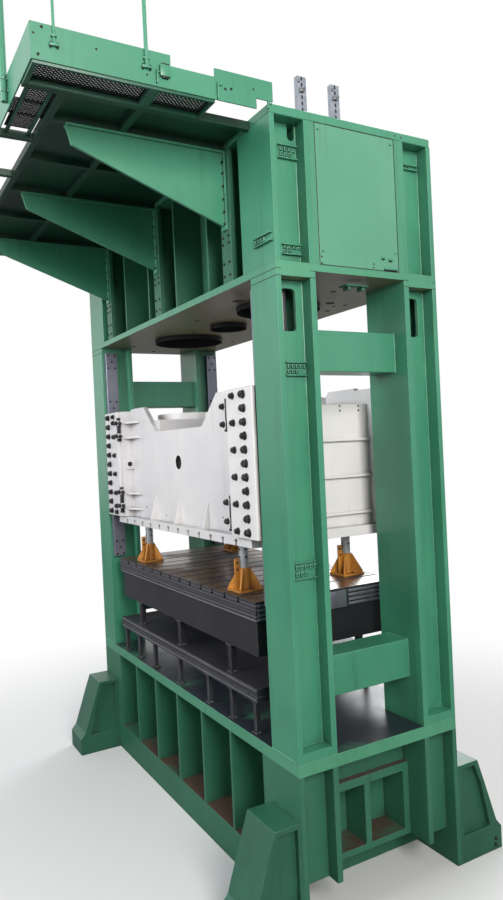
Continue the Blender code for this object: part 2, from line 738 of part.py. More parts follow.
def make_slide_body():
    low = SLIDE_BASE_Z[1] + MATE
    core_y = SLIDE_PLATE_Y - SLIDE_PLATE - MATE
    profile = [
        (-SLIDE_CORE_X, low),
        (SLIDE_CORE_X, low),
        (SLIDE_CORE_X, SLIDE_DECK_Z),
        (SLIDE_WELL_HALF, SLIDE_DECK_Z),
        (SLIDE_WELL_HALF, SLIDE_WELL_Z),
        (-SLIDE_WELL_HALF, SLIDE_WELL_Z),
        (-SLIDE_WELL_HALF, SLIDE_DECK_Z),
        (-SLIDE_CORE_X, SLIDE_DECK_Z),
    ]
    body = prism(profile, "Y", -core_y, core_y)
    finish(body, "slide_body", WHITE)
    for sx, sy, place_name in corners():
        block = box(
            (sx * BLOCK_X[0], sx * BLOCK_X[1]),
            (sy * BLOCK_Y[0], sy * BLOCK_Y[1]),
            BLOCK_Z,
        )
        fuse(body, block)
        skin = SLIDE_PLATE_Y + MATE
        for z in BRACE_Z:
            brace = [
                (sx * (BLOCK_X[0] + 0.02), sy * skin),
                (sx * (BLOCK_X[0] + 0.02), sy * (skin + BRACE_REACH[1])),
                (sx * BLOCK_X[0], sy * (skin + BRACE_REACH[1])),
                (sx * (BLOCK_X[0] - BRACE_REACH[0]), sy * (skin + 0.012)),
                (sx * (BLOCK_X[0] - BRACE_REACH[0]), sy * skin),
            ]
            fuse(body, prism(brace, "Z", z - BRACE_THICK / 2, z + BRACE_THICK / 2))
        for z in LUG_Z:
            width, depth, height = LUG_SIZE
            start = BLOCK_X[0] + 0.008
            lug = box(
                (sx * start, sx * (start + width)),
                (sy * (BLOCK_Y[1] - 0.01), sy * (BLOCK_Y[1] + depth)),
                (z - height / 2, z + height / 2),
            )
            fuse(body, lug)
    rib_half = BLOCK_Y[0] - 0.010
    for sx, hand in sides():
        for z in SIDE_RIB_Z:
            rib = box(
                (sx * (SLIDE_CORE_X - 0.02), sx * (SLIDE_CORE_X + SIDE_RIB_REACH)),
                (-rib_half, rib_half),
                (z - SIDE_RIB_THICK / 2, z + SIDE_RIB_THICK / 2),
            )
            fuse(body, rib)
        seat = cylinder((sx * BORE_X, 0.0), SEAT_RADIUS, (SLIDE_DECK_Z - 0.02, SLIDE_DECK_Z + SEAT_HEIGHT), 48)
        fuse(body, seat)
        top = SLIDE_DECK_Z + SEAT_HEIGHT
        cut(body, cylinder((sx * BORE_X, 0.0), SEAT_HOLE_RADIUS, (top - SEAT_HOLE_DEPTH, top + 0.02), 32))


def make_slide_plates():
    low = SLIDE_BASE_Z[1] + MATE
    half = BLOCK_X[0] - MATE
    outline = [
        (-half, low),
        (half, low),
        (half, SLIDE_PLATE_TOP),
        (NOTCH_TOP_HALF, SLIDE_PLATE_TOP),
        (NOTCH_BOTTOM_HALF, NOTCH_Z),
        (-NOTCH_BOTTOM_HALF, NOTCH_Z),
        (-NOTCH_TOP_HALF, SLIDE_PLATE_TOP),
        (-half, SLIDE_PLATE_TOP),
    ]
    for sy, depth in ((-1, "front"), (1, "rear")):
        outer = sy * SLIDE_PLATE_Y
        plate = prism(outline, "Y", outer - sy * SLIDE_PLATE, outer)
        finish(plate, f"slide_plate_{depth}", WHITE)
        for x in GUSSET_X:
            wedge = [
                (outer - sy * 0.02, low),
                (outer + sy * GUSSET_FOOT, low),
                (outer + sy * GUSSET_FOOT, low + 0.02),
                (outer, low + GUSSET_RISE),
                (outer - sy * 0.02, low + GUSSET_RISE),
            ]
            fuse(plate, prism(wedge, "X", x - GUSSET_THICK / 2, x + GUSSET_THICK / 2))
        eye = cylinder((0.0, 0.0), EYE_RADIUS, (-0.06, 0.06), 24)
        eye.rotation_euler = (math.pi / 2, 0.0, 0.0)
        eye.location = (0.0, outer + sy * 0.02, EYE_Z)
        cut(plate, eye)


def make_guides():
    for sx, sy, place_name in corners():
        inner = BLOCK_Y[1] + MATE
        guide = box((sx * GUIDE_X[0], sx * GUIDE_X[1]), (sy * inner, sy * (inner + GUIDE_THICK)), BLOCK_Z)
        finish(guide, f"slide_guide_{place_name}", WHITE)
        edge = guide.modifiers.new("Edges", "BEVEL")
        edge.width = 0.004
        edge.segments = 1


def make_props():
    base_z = BOLSTER_TOP_Z + MATE
    tube_top = base_z + PROP_TUBE_HEIGHT
    head_top = SLIDE_BASE_Z[0] - MATE
    post_low = base_z + PROP_FLOOR + PROP_TRAVEL
    bore = PROP_POST_RADIUS + PROP_BORE_CLEARANCE
    for sx, sy, place_name in corners():
        centre = (sx * PROP_X, sy * PROP_Y)
        foot_x = (centre[0] - PROP_FOOT_HALF, centre[0] + PROP_FOOT_HALF)
        foot_y = (centre[1] - PROP_FOOT_HALF, centre[1] + PROP_FOOT_HALF)
        base = box(foot_x, foot_y, (base_z, base_z + PROP_FOOT_THICK))
        finish(base, f"prop_base_{place_name}", ORANGE)
        fuse(base, cylinder(centre, PROP_TUBE_RADIUS, (base_z + 0.005, tube_top), 24))
        for turn in range(4):
            angle = math.pi / 4 + turn * math.pi / 2
            reach = PROP_FOOT_HALF * math.sqrt(2) - 0.016
            fin = [
                (PROP_TUBE_RADIUS - 0.010, 0.005),
                (reach, 0.005),
                (reach, PROP_FOOT_THICK + 0.020),
                (PROP_TUBE_RADIUS + 0.006, PROP_TUBE_HEIGHT - 0.012),
                (PROP_TUBE_RADIUS - 0.010, PROP_TUBE_HEIGHT - 0.012),
            ]
            blade = prism(fin, "Y", -PROP_FIN_THICK / 2, PROP_FIN_THICK / 2)
            blade.rotation_euler = (0.0, 0.0, angle)
            blade.location = (*centre, base_z)
            fuse(base, blade)
        cut(base, cylinder(centre, bore, (base_z + PROP_FLOOR, tube_top + 0.02), 24))
        smooth_round(base)
        post = cylinder(centre, PROP_POST_RADIUS, (post_low, head_top - PROP_HEAD_THICK / 2), 24)
        finish(post, f"prop_post_{place_name}", POST_STEEL, 0.7, 0.4)
        fuse(post, cylinder(centre, PROP_HEAD_RADIUS, (head_top - PROP_HEAD_THICK, head_top), 24))
        smooth_round(post)


def make_brackets():
    wall = -(HALF_DEPTH + MATE)
    top = DECK_Z - DECK_PLATE - JOIST_DEPTH - MATE
    drop, rise = BRACKET_TIP
    outline = [
        (wall, BRACKET_ROOT_Z),
        (wall, top),
        (BRACKET_REACH_Y, top),
        (BRACKET_REACH_Y, top - drop),
        (BRACKET_REACH_Y + 0.046, top - rise),
    ]
    for index, x in enumerate((-CROWN_BAR_X, 0.0, CROWN_BAR_X)):
        plate = prism(outline, "X", x - BRACKET_PLATE / 2, x + BRACKET_PLATE / 2)
        finish(plate, f"platform_bracket_{index + 1}", GREEN)
        half = BRACKET_FLANGE / 2
        flange = box((x - half, x + half), (wall, BRACKET_REACH_Y), (top - BRACKET_FLANGE_THICK, top))
        palm = box(
            (x - half, x + half), (wall, wall - BRACKET_FLANGE_THICK), (BRACKET_ROOT_Z - 0.03, top)
        )
        fuse(plate, flange, palm)


def make_deck():
    reach_x = HALF_WIDTH - PLATFORM_WALL - MATE
    front = PLATFORM_FRONT_Y + PLATFORM_WALL + MATE
    wall = -(HALF_DEPTH + MATE)
    half = JOIST_WIDTH / 2
    bay = EDGE_JOIST_X + half
    joist_z = (DECK_Z - DECK_PLATE - JOIST_DEPTH, DECK_Z - DECK_PLATE + 0.002)
    deck = box((-reach_x, bay), (BEARER_Y[0] - half + 0.003, wall), (DECK_Z - DECK_PLATE, DECK_Z))
    finish(deck, "platform_deck", GREEN)
    for x in [share * CROWN_BAR_X for share in JOIST_SHARES]:
        fuse(deck, box((x - half, x + half), (BEARER_Y[0], wall), joist_z))
    for x in (-EDGE_JOIST_X, EDGE_JOIST_X):
        fuse(deck, box((x - half, x + half), (front, wall), joist_z))
    for index in range(STRIP_COUNT):
        x = STRIP_JOIST_X - index * STRIP_PITCH
        fuse(deck, box((x - half, x + half), (front, BEARER_Y[0]), joist_z))
    for y in BEARER_Y:
        fuse(deck, box((-reach_x, bay), (y - half, y + half), joist_z))


def make_grating():
    low_x = EDGE_JOIST_X + JOIST_WIDTH / 2 + MATE
    high_x = HALF_WIDTH - PLATFORM_WALL - MATE
    front = PLATFORM_FRONT_Y + PLATFORM_WALL + MATE
    back = FASCIA_NOTCH_Y[1]
    middle = BEARER_Y[1]
    under = DECK_Z - DECK_PLATE - JOIST_DEPTH
    rim = 0.025
    grating = box((low_x, high_x), (front, back), (under, DECK_Z))
    finish(grating, "platform_grating", GREEN_DARK)
    bays = ((front + rim, middle - rim), (middle + rim, back - rim))
    for y in bays:
        cut(grating, box((low_x + rim, high_x - rim), y, (under - 0.02, DECK_Z - GRATING_THICK)))


def fascia_outline():
    low, high = FASCIA_Z
    return [
        (PLATFORM_FRONT_Y, low),
        (FASCIA_STEP_Y, low),
        (FASCIA_STEP_Y, FASCIA_STEP_Z),
        (FASCIA_END_Y, FASCIA_STEP_Z),
        (FASCIA_END_Y, high - 0.015),
        (FASCIA_NOTCH_Y[1], high - 0.015),
        (FASCIA_NOTCH_Y[1], FASCIA_NOTCH_Z),
        (FASCIA_NOTCH_Y[0], FASCIA_NOTCH_Z),
        (FASCIA_NOTCH_Y[0], high),
        (PLATFORM_FRONT_Y, high),
    ]


def make_fascias():
    low, high = FASCIA_Z
    for sx, hand in sides():
        outer = sx * HALF_WIDTH
        plate = prism(fascia_outline(), "X", outer - sx * PLATFORM_WALL, outer)
        finish(plate, f"platform_fascia_{hand}", GREEN)
        if hand == "right":
            for setback, radius in POST_RODS:
                centre = (outer + radius - 0.004, PLATFORM_FRONT_Y + setback)
                fuse(plate, cylinder(centre, radius, (high - 0.160, high + POST_HEIGHT), 12))
    reach = HALF_WIDTH - PLATFORM_WALL - MATE
    back = PLATFORM_FRONT_Y + PLATFORM_WALL
    front = box((-reach, reach), (PLATFORM_FRONT_Y, back), FASCIA_Z)
    finish(front, "platform_fascia_front", GREEN)
    post_y = PLATFORM_FRONT_Y - POST_TUBE_RADIUS + 0.004
    centre = (CROWN_BAR_X + POST_TUBE_OFFSET, post_y)
    fuse(front, cylinder(centre, POST_TUBE_RADIUS, (low + 0.050, high + POST_HEIGHT), 16))


def make_channels():
    low = CROWN_TOP_Z + MATE
    for index, y in enumerate(CHANNEL_Y):
        half = CHANNEL_WIDTH / 2
        x = CHANNEL_X
        outline = [
            (x, y - half),
            (x, y + half),
            (x - CHANNEL_DEPTH, y + half),
            (x - CHANNEL_DEPTH, y + half - CHANNEL_WALL),
            (x - CHANNEL_WALL, y + half - CHANNEL_WALL),
            (x - CHANNEL_WALL, y - half + CHANNEL_WALL),
            (x - CHANNEL_DEPTH, y - half + CHANNEL_WALL),
            (x - CHANNEL_DEPTH, y - half),
        ]
        bar = prism(outline, "Z", low, low + CHANNEL_HEIGHT)
        finish(bar, f"channel_{index + 1}", ZINC, 0.8, 0.4)


clear_scene()
make_bed()
make_bed_deck()
make_feet()
make_columns()
make_beams()
make_rails()
make_tie_rods()
make_crown_floor()
make_crown_body()
make_crown_corners()
make_crown_roof()
make_covers()
make_bolster()
make_table()
make_slide_base()
make_slide_body()
make_slide_plates()
make_guides()
make_props()
make_brackets()
make_deck()
make_grating()
make_fascias()
make_channels()
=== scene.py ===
import math

import bmesh
import bpy
from mathutils import Matrix, Vector


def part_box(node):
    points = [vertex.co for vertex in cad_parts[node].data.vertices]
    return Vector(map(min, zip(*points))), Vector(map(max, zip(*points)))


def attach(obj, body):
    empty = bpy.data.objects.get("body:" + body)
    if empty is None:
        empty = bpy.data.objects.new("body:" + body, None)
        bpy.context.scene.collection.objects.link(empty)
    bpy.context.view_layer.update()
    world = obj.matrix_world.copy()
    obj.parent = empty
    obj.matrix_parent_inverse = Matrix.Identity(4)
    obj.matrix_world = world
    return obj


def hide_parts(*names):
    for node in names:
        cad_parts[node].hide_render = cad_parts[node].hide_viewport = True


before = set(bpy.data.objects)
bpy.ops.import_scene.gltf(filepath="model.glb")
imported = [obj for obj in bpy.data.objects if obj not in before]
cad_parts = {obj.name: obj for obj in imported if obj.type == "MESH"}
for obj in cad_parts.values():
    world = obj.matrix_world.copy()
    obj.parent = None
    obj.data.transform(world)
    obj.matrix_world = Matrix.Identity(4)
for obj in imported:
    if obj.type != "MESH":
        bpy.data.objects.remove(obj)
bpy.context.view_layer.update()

# Photo viewpoint in metres and degrees
camera = {
    "place": (8.187, -4.398, 4.435),
    "azimuth": 60.36,
    "elevation": -0.238,
    "roll": -2.670,
    "lens": 28.454,
    "sensor": 36.0,
}


def addCamera(values):
    azimuth, elevation, roll = (math.radians(values[key]) for key in ("azimuth", "elevation", "roll"))
    forward = Vector((
        -math.sin(azimuth) * math.cos(elevation),
        math.cos(azimuth) * math.cos(elevation),
        math.sin(elevation),
    ))
    level = Vector((math.cos(azimuth), math.sin(azimuth), 0.0))
    up = level.cross(forward)
    right = math.cos(roll) * level + math.sin(roll) * up
    top = -math.sin(roll) * level + math.cos(roll) * up
    lens = bpy.data.cameras.new("photoCamera")
    lens.lens = values["lens"]
    lens.sensor_fit = "VERTICAL"
    lens.sensor_height = values["sensor"]
    lens.clip_end = 200.0
    item = bpy.data.objects.new("photoCamera", lens)
    item.matrix_world = Matrix((right, top, -forward)).transposed().to_4x4()
    item.location = values["place"]
    bpy.context.scene.collection.objects.link(item)
    bpy.context.scene.camera = item


# Soft studio light and a pale floor
studio = {
    "background": 1.0,
    "ambient": 0.34,
    "floorColour": (0.72, 0.72, 0.72),
    "floorBounce": (0.22, 0.22, 0.22),
    "whiteFrom": 3.5,
    "whiteBy": 9.0,
    "lights": [
        ("keyLight", (1.0, -12.0, 8.5), (0.0, -0.5, 5.0), (6.0, 5.0), 1150.0, (0.94, 0.97, 1.0)),
        ("fillLight", (13.5, -3.0, 8.6), (2.0, 0.0, 6.6), (5.0, 6.0), 1760.0, (1.0, 0.97, 0.92)),
        ("backLight", (-9.0, 11.0, 8.5), (0.0, 0.0, 4.5), (6.0, 6.0), 900.0, (0.95, 0.98, 1.0)),
        ("topLight", (-2.0, 3.0, 15.0), (0.0, 0.0, 3.0), (9.0, 9.0), 620.0, (1.0, 0.98, 0.95)),
    ],
}


def areaLight(name, place, target, size, power, colour):
    data = bpy.data.lights.new(name, "AREA")
    data.shape = "RECTANGLE"
    data.size = size[0]
    data.size_y = size[1]
    data.energy = power
    data.color = colour
    item = bpy.data.objects.new(name, data)
    item.location = place
    item.rotation_euler = (Vector(target) - Vector(place)).to_track_quat("-Z", "Y").to_euler()
    bpy.context.scene.collection.objects.link(item)


# The floor turns plain white away from the press, for the camera alone
def fadeToWhite(tree, shader, values):
    coords = tree.nodes.new("ShaderNodeTexCoord")
    flat = tree.nodes.new("ShaderNodeVectorMath")
    flat.operation = "LENGTH"
    spread = tree.nodes.new("ShaderNodeMapRange")
    spread.interpolation_type = "SMOOTHSTEP"
    spread.inputs["From Min"].default_value = values["whiteFrom"]
    spread.inputs["From Max"].default_value = values["whiteBy"]
    path = tree.nodes.new("ShaderNodeLightPath")
    pale = tree.nodes.new("ShaderNodeMix")
    pale.data_type = "RGBA"
    pale.inputs[6].default_value = (*values["floorBounce"], 1.0)
    pale.inputs[7].default_value = (*values["floorColour"], 1.0)
    tree.links.new(path.outputs["Is Camera Ray"], pale.inputs[0])
    tree.links.new(pale.outputs[2], shader.inputs["Base Color"])
    both = tree.nodes.new("ShaderNodeMath")
    both.operation = "MULTIPLY"
    white = tree.nodes.new("ShaderNodeEmission")
    white.inputs["Strength"].default_value = values["background"]
    mix = tree.nodes.new("ShaderNodeMixShader")
    tree.links.new(coords.outputs["Object"], flat.inputs[0])
    tree.links.new(flat.outputs["Value"], spread.inputs["Value"])
    tree.links.new(spread.outputs["Result"], both.inputs[0])
    tree.links.new(path.outputs["Is Camera Ray"], both.inputs[1])
    tree.links.new(both.outputs["Value"], mix.inputs["Fac"])
    tree.links.new(shader.outputs["BSDF"], mix.inputs[1])
    tree.links.new(white.outputs["Emission"], mix.inputs[2])
    tree.links.new(mix.outputs["Shader"], tree.nodes["Material Output"].inputs["Surface"])


def addStudio(values):
    world = bpy.data.worlds.new("studioWorld")
    world.use_nodes = True
    tree = world.node_tree
    tree.nodes.clear()
    output = tree.nodes.new("ShaderNodeOutputWorld")
    mix = tree.nodes.new("ShaderNodeMixShader")
    path = tree.nodes.new("ShaderNodeLightPath")
    ambient = tree.nodes.new("ShaderNodeBackground")
    shown = tree.nodes.new("ShaderNodeBackground")
    ambient.inputs["Color"].default_value = (0.93, 0.96, 1.0, 1.0)
    ambient.inputs["Strength"].default_value = values["ambient"]
    shown.inputs["Color"].default_value = (1.0, 1.0, 1.0, 1.0)
    shown.inputs["Strength"].default_value = values["background"]
    either = tree.nodes.new("ShaderNodeMath")
    either.operation = "MAXIMUM"
    tree.links.new(path.outputs["Is Camera Ray"], either.inputs[0])
    tree.links.new(path.outputs["Is Transmission Ray"], either.inputs[1])
    threeWay = tree.nodes.new("ShaderNodeMath")
    threeWay.operation = "MAXIMUM"
    tree.links.new(either.outputs["Value"], threeWay.inputs[0])
    tree.links.new(path.outputs["Is Glossy Ray"], threeWay.inputs[1])
    tree.links.new(threeWay.outputs["Value"], mix.inputs["Fac"])
    tree.links.new(ambient.outputs["Background"], mix.inputs[1])
    tree.links.new(shown.outputs["Background"], mix.inputs[2])
    tree.links.new(mix.outputs["Shader"], output.inputs["Surface"])
    bpy.context.scene.world = world
    for light in values["lights"]:
        areaLight(*light)
    mesh = bpy.data.meshes.new("studioFloor")
    shape = bmesh.new()
    bmesh.ops.create_grid(shape, x_segments=1, y_segments=1, size=60.0)
    shape.to_mesh(mesh)
    shape.free()
    ground = bpy.data.objects.new("studioFloor", mesh)
    ground.location.z = -0.002
    bpy.context.scene.collection.objects.link(ground)
    paint = bpy.data.materials.new("studioFloor")
    paint.use_nodes = True
    shader = paint.node_tree.nodes["Principled BSDF"]
    shader.inputs["Base Color"].default_value = (*values["floorColour"], 1.0)
    shader.inputs["Roughness"].default_value = 0.9
    fadeToWhite(paint.node_tree, shader, values)
    mesh.materials.append(paint)


# One recipe for every surface: two tones, runs, grime and painted shade in corners, worn edges with painted
# edge highlights, grain and bump
def surface(name, look):
    made = bpy.data.materials.new(name)
    made.use_nodes = True
    tree = made.node_tree
    shader = tree.nodes["Principled BSDF"]

    def node(kind, **values):
        item = tree.nodes.new(kind)
        for key, value in values.items():
            setattr(item, key, value)
        return item

    def link(source, target):
        tree.links.new(source, target)

    coords = node("ShaderNodeTexCoord")

    def noise(scale, stretch=(1.0, 1.0, 1.0), detail=3.0, roughness=0.55):
        mapping = node("ShaderNodeMapping")
        mapping.inputs["Scale"].default_value = stretch
        link(coords.outputs["Object"], mapping.inputs["Vector"])
        item = node("ShaderNodeTexNoise")
        item.inputs["Scale"].default_value = scale
        item.inputs["Detail"].default_value = detail
        item.inputs["Roughness"].default_value = roughness
        link(mapping.outputs["Vector"], item.inputs["Vector"])
        return item.outputs["Fac"]

    def ramp(source, low, high, most=1.0):
        item = node("ShaderNodeMapRange")
        item.interpolation_type = "SMOOTHSTEP"
        item.inputs["From Min"].default_value = low
        item.inputs["From Max"].default_value = high
        item.inputs["To Max"].default_value = most
        link(source, item.inputs["Value"])
        return item.outputs["Result"]

    def maths(kind, first, second):
        item = node("ShaderNodeMath", operation=kind)
        for index, value in enumerate((first, second)):
            if isinstance(value, (int, float)):
                item.inputs[index].default_value = value
            else:
                link(value, item.inputs[index])
        return item.outputs["Value"]

    def tint(factor, below, above):
        item = node("ShaderNodeMix", data_type="RGBA")
        link(factor, item.inputs[0])
        for slot, value in ((6, below), (7, above)):
            if isinstance(value, tuple):
                item.inputs[slot].default_value = (*value, 1.0)
            else:
                link(value, item.inputs[slot])
        return item.outputs[2]

    colour = tint(ramp(noise(look["patch"]), 0.35, 0.68), look["tone"], look["toneTwo"])
    runs = ramp(noise(3.2, (3.0, 3.0, 0.22), 5.0, 0.65), 0.52, 0.78, look["runs"])
    colour = tint(runs, colour, look["grimeAndShade"])
    geometry = node("ShaderNodeNewGeometry")
    split = node("ShaderNodeSeparateXYZ")
    link(geometry.outputs["True Normal"], split.inputs[0])
    # Past |X| = from the colour changes, painting light on the crown web's ends and shade on the bolster's
    # ends
    if "ends" in look:
        place = node("ShaderNodeSeparateXYZ")
        link(coords.outputs["Object"], place.inputs[0])
        start = look["ends"]["from"]
        ends = ramp(maths("ABSOLUTE", place.outputs["X"], 0.0), start, start + 0.01)
        colour = tint(ends, colour, look["ends"]["colour"])
    rough = look["rough"]
    for key, direction in (("upper", 1.0), ("under", -1.0)):
        if key in look:
            facing = ramp(maths("MULTIPLY", split.outputs["Z"], direction), 0.55, 0.85)
            cover = maths("MULTIPLY", facing, ramp(noise(1.7, detail=6.0), *look[key]["cover"]))
            colour = tint(cover, colour, look[key]["colour"])
    if "upperRough" in look:
        level = ramp(split.outputs["Z"], 0.55, 0.85)
        wet = maths("MULTIPLY", level, ramp(noise(0.9, detail=4.0), 0.40, 0.55))
        rough = maths("ADD", rough, maths("MULTIPLY", wet, look["upperRough"] - rough))
    lines = 0.0
    for height, width, strength in look.get("lines", ()):
        place = node("ShaderNodeSeparateXYZ")
        link(coords.outputs["Object"], place.inputs[0])
        off = maths("ABSOLUTE", maths("SUBTRACT", place.outputs["Z"], height), 0.0)
        near = maths("SUBTRACT", 1.0, ramp(off, width * 0.6, width))
        side = maths("SUBTRACT", 1.0, ramp(maths("ABSOLUTE", split.outputs["Z"], 0.0), 0.3, 0.7))
        near = maths("MULTIPLY", maths("MULTIPLY", near, side), abs(strength))
        colour = tint(near, colour, look["bareAndEdgeLight"] if strength > 0 else look["grimeAndShade"])
        lines = maths("ADD", lines, near)
    # Painted shade: ambient occlusion, scaled by the look's corners amount, darkens corners, creases and
    # recesses toward the grime colour, standing in for shade there as well as dirt
    corner = node("ShaderNodeAmbientOcclusion", samples=4)
    corner.inputs["Distance"].default_value = 0.14
    hidden = maths("SUBTRACT", 1.0, corner.outputs["AO"])
    nook = ramp(hidden, 0.18, 0.85, look["corners"])
    dirtAndShade = maths("MULTIPLY", nook, ramp(noise(5.0, detail=5.0), 0.25, 0.65))
    colour = tint(dirtAndShade, colour, look["grimeAndShade"])
    # Worn edges and painted edge highlights: along every edge, broken by noise, the colour turns to the bare
    # colour, which in the green paints is a lighter green standing in for light on the edges
    bevel = node("ShaderNodeBevel", samples=4)
    bevel.inputs["Radius"].default_value = look["edge"]
    dot = node("ShaderNodeVectorMath", operation="DOT_PRODUCT")
    link(bevel.outputs["Normal"], dot.inputs[0])
    link(geometry.outputs["Normal"], dot.inputs[1])
    rim = ramp(maths("SUBTRACT", 1.0, dot.outputs["Value"]), 0.015, 0.10)
    chipsAndEdgeLight = maths("MULTIPLY", rim, ramp(noise(14.0, detail=6.0, roughness=0.7), *look["chips"]))
    colour = tint(chipsAndEdgeLight, colour, look["bareAndEdgeLight"])
    specks = ramp(noise(38.0, detail=2.0), 0.70, 0.76, look["specks"])
    colour = tint(specks, colour, look["bareAndEdgeLight"])
    link(colour, shader.inputs["Base Color"])
    grain = noise(look["grain"], detail=3.0)
    rough = maths("ADD", rough, maths("MULTIPLY", maths("SUBTRACT", grain, 0.5), 0.16))
    rough = maths("ADD", rough, maths("MULTIPLY", dirtAndShade, 0.25))
    link(maths("MINIMUM", maths("MAXIMUM", rough, 0.08), 0.95), shader.inputs["Roughness"])
    shader.inputs["Metallic"].default_value = look["metal"]
    shader.inputs["Coat Weight"].default_value = look["coat"]
    shader.inputs["Coat Roughness"].default_value = 0.2
    bump = node("ShaderNodeBump")
    bump.inputs["Strength"].default_value = look["bump"]
    bump.inputs["Distance"].default_value = 0.004
    height = maths("ADD", grain, maths("MULTIPLY", noise(2.4, detail=2.0), 2.0))
    height = maths("SUBTRACT", height, maths("MULTIPLY", chipsAndEdgeLight, 0.6))
    height = maths("SUBTRACT", height, maths("MULTIPLY", lines, 1.5))
    link(height, bump.inputs["Height"])
    link(bevel.outputs["Normal"], bump.inputs["Normal"])
    link(bump.outputs["Normal"], shader.inputs["Normal"])
    return made


# What a look has where its own entry doesn't say it
common = {"edge": 0.006, "metal": 0.0, "grain": 95.0, "bump": 0.16, "coat": 0.0}
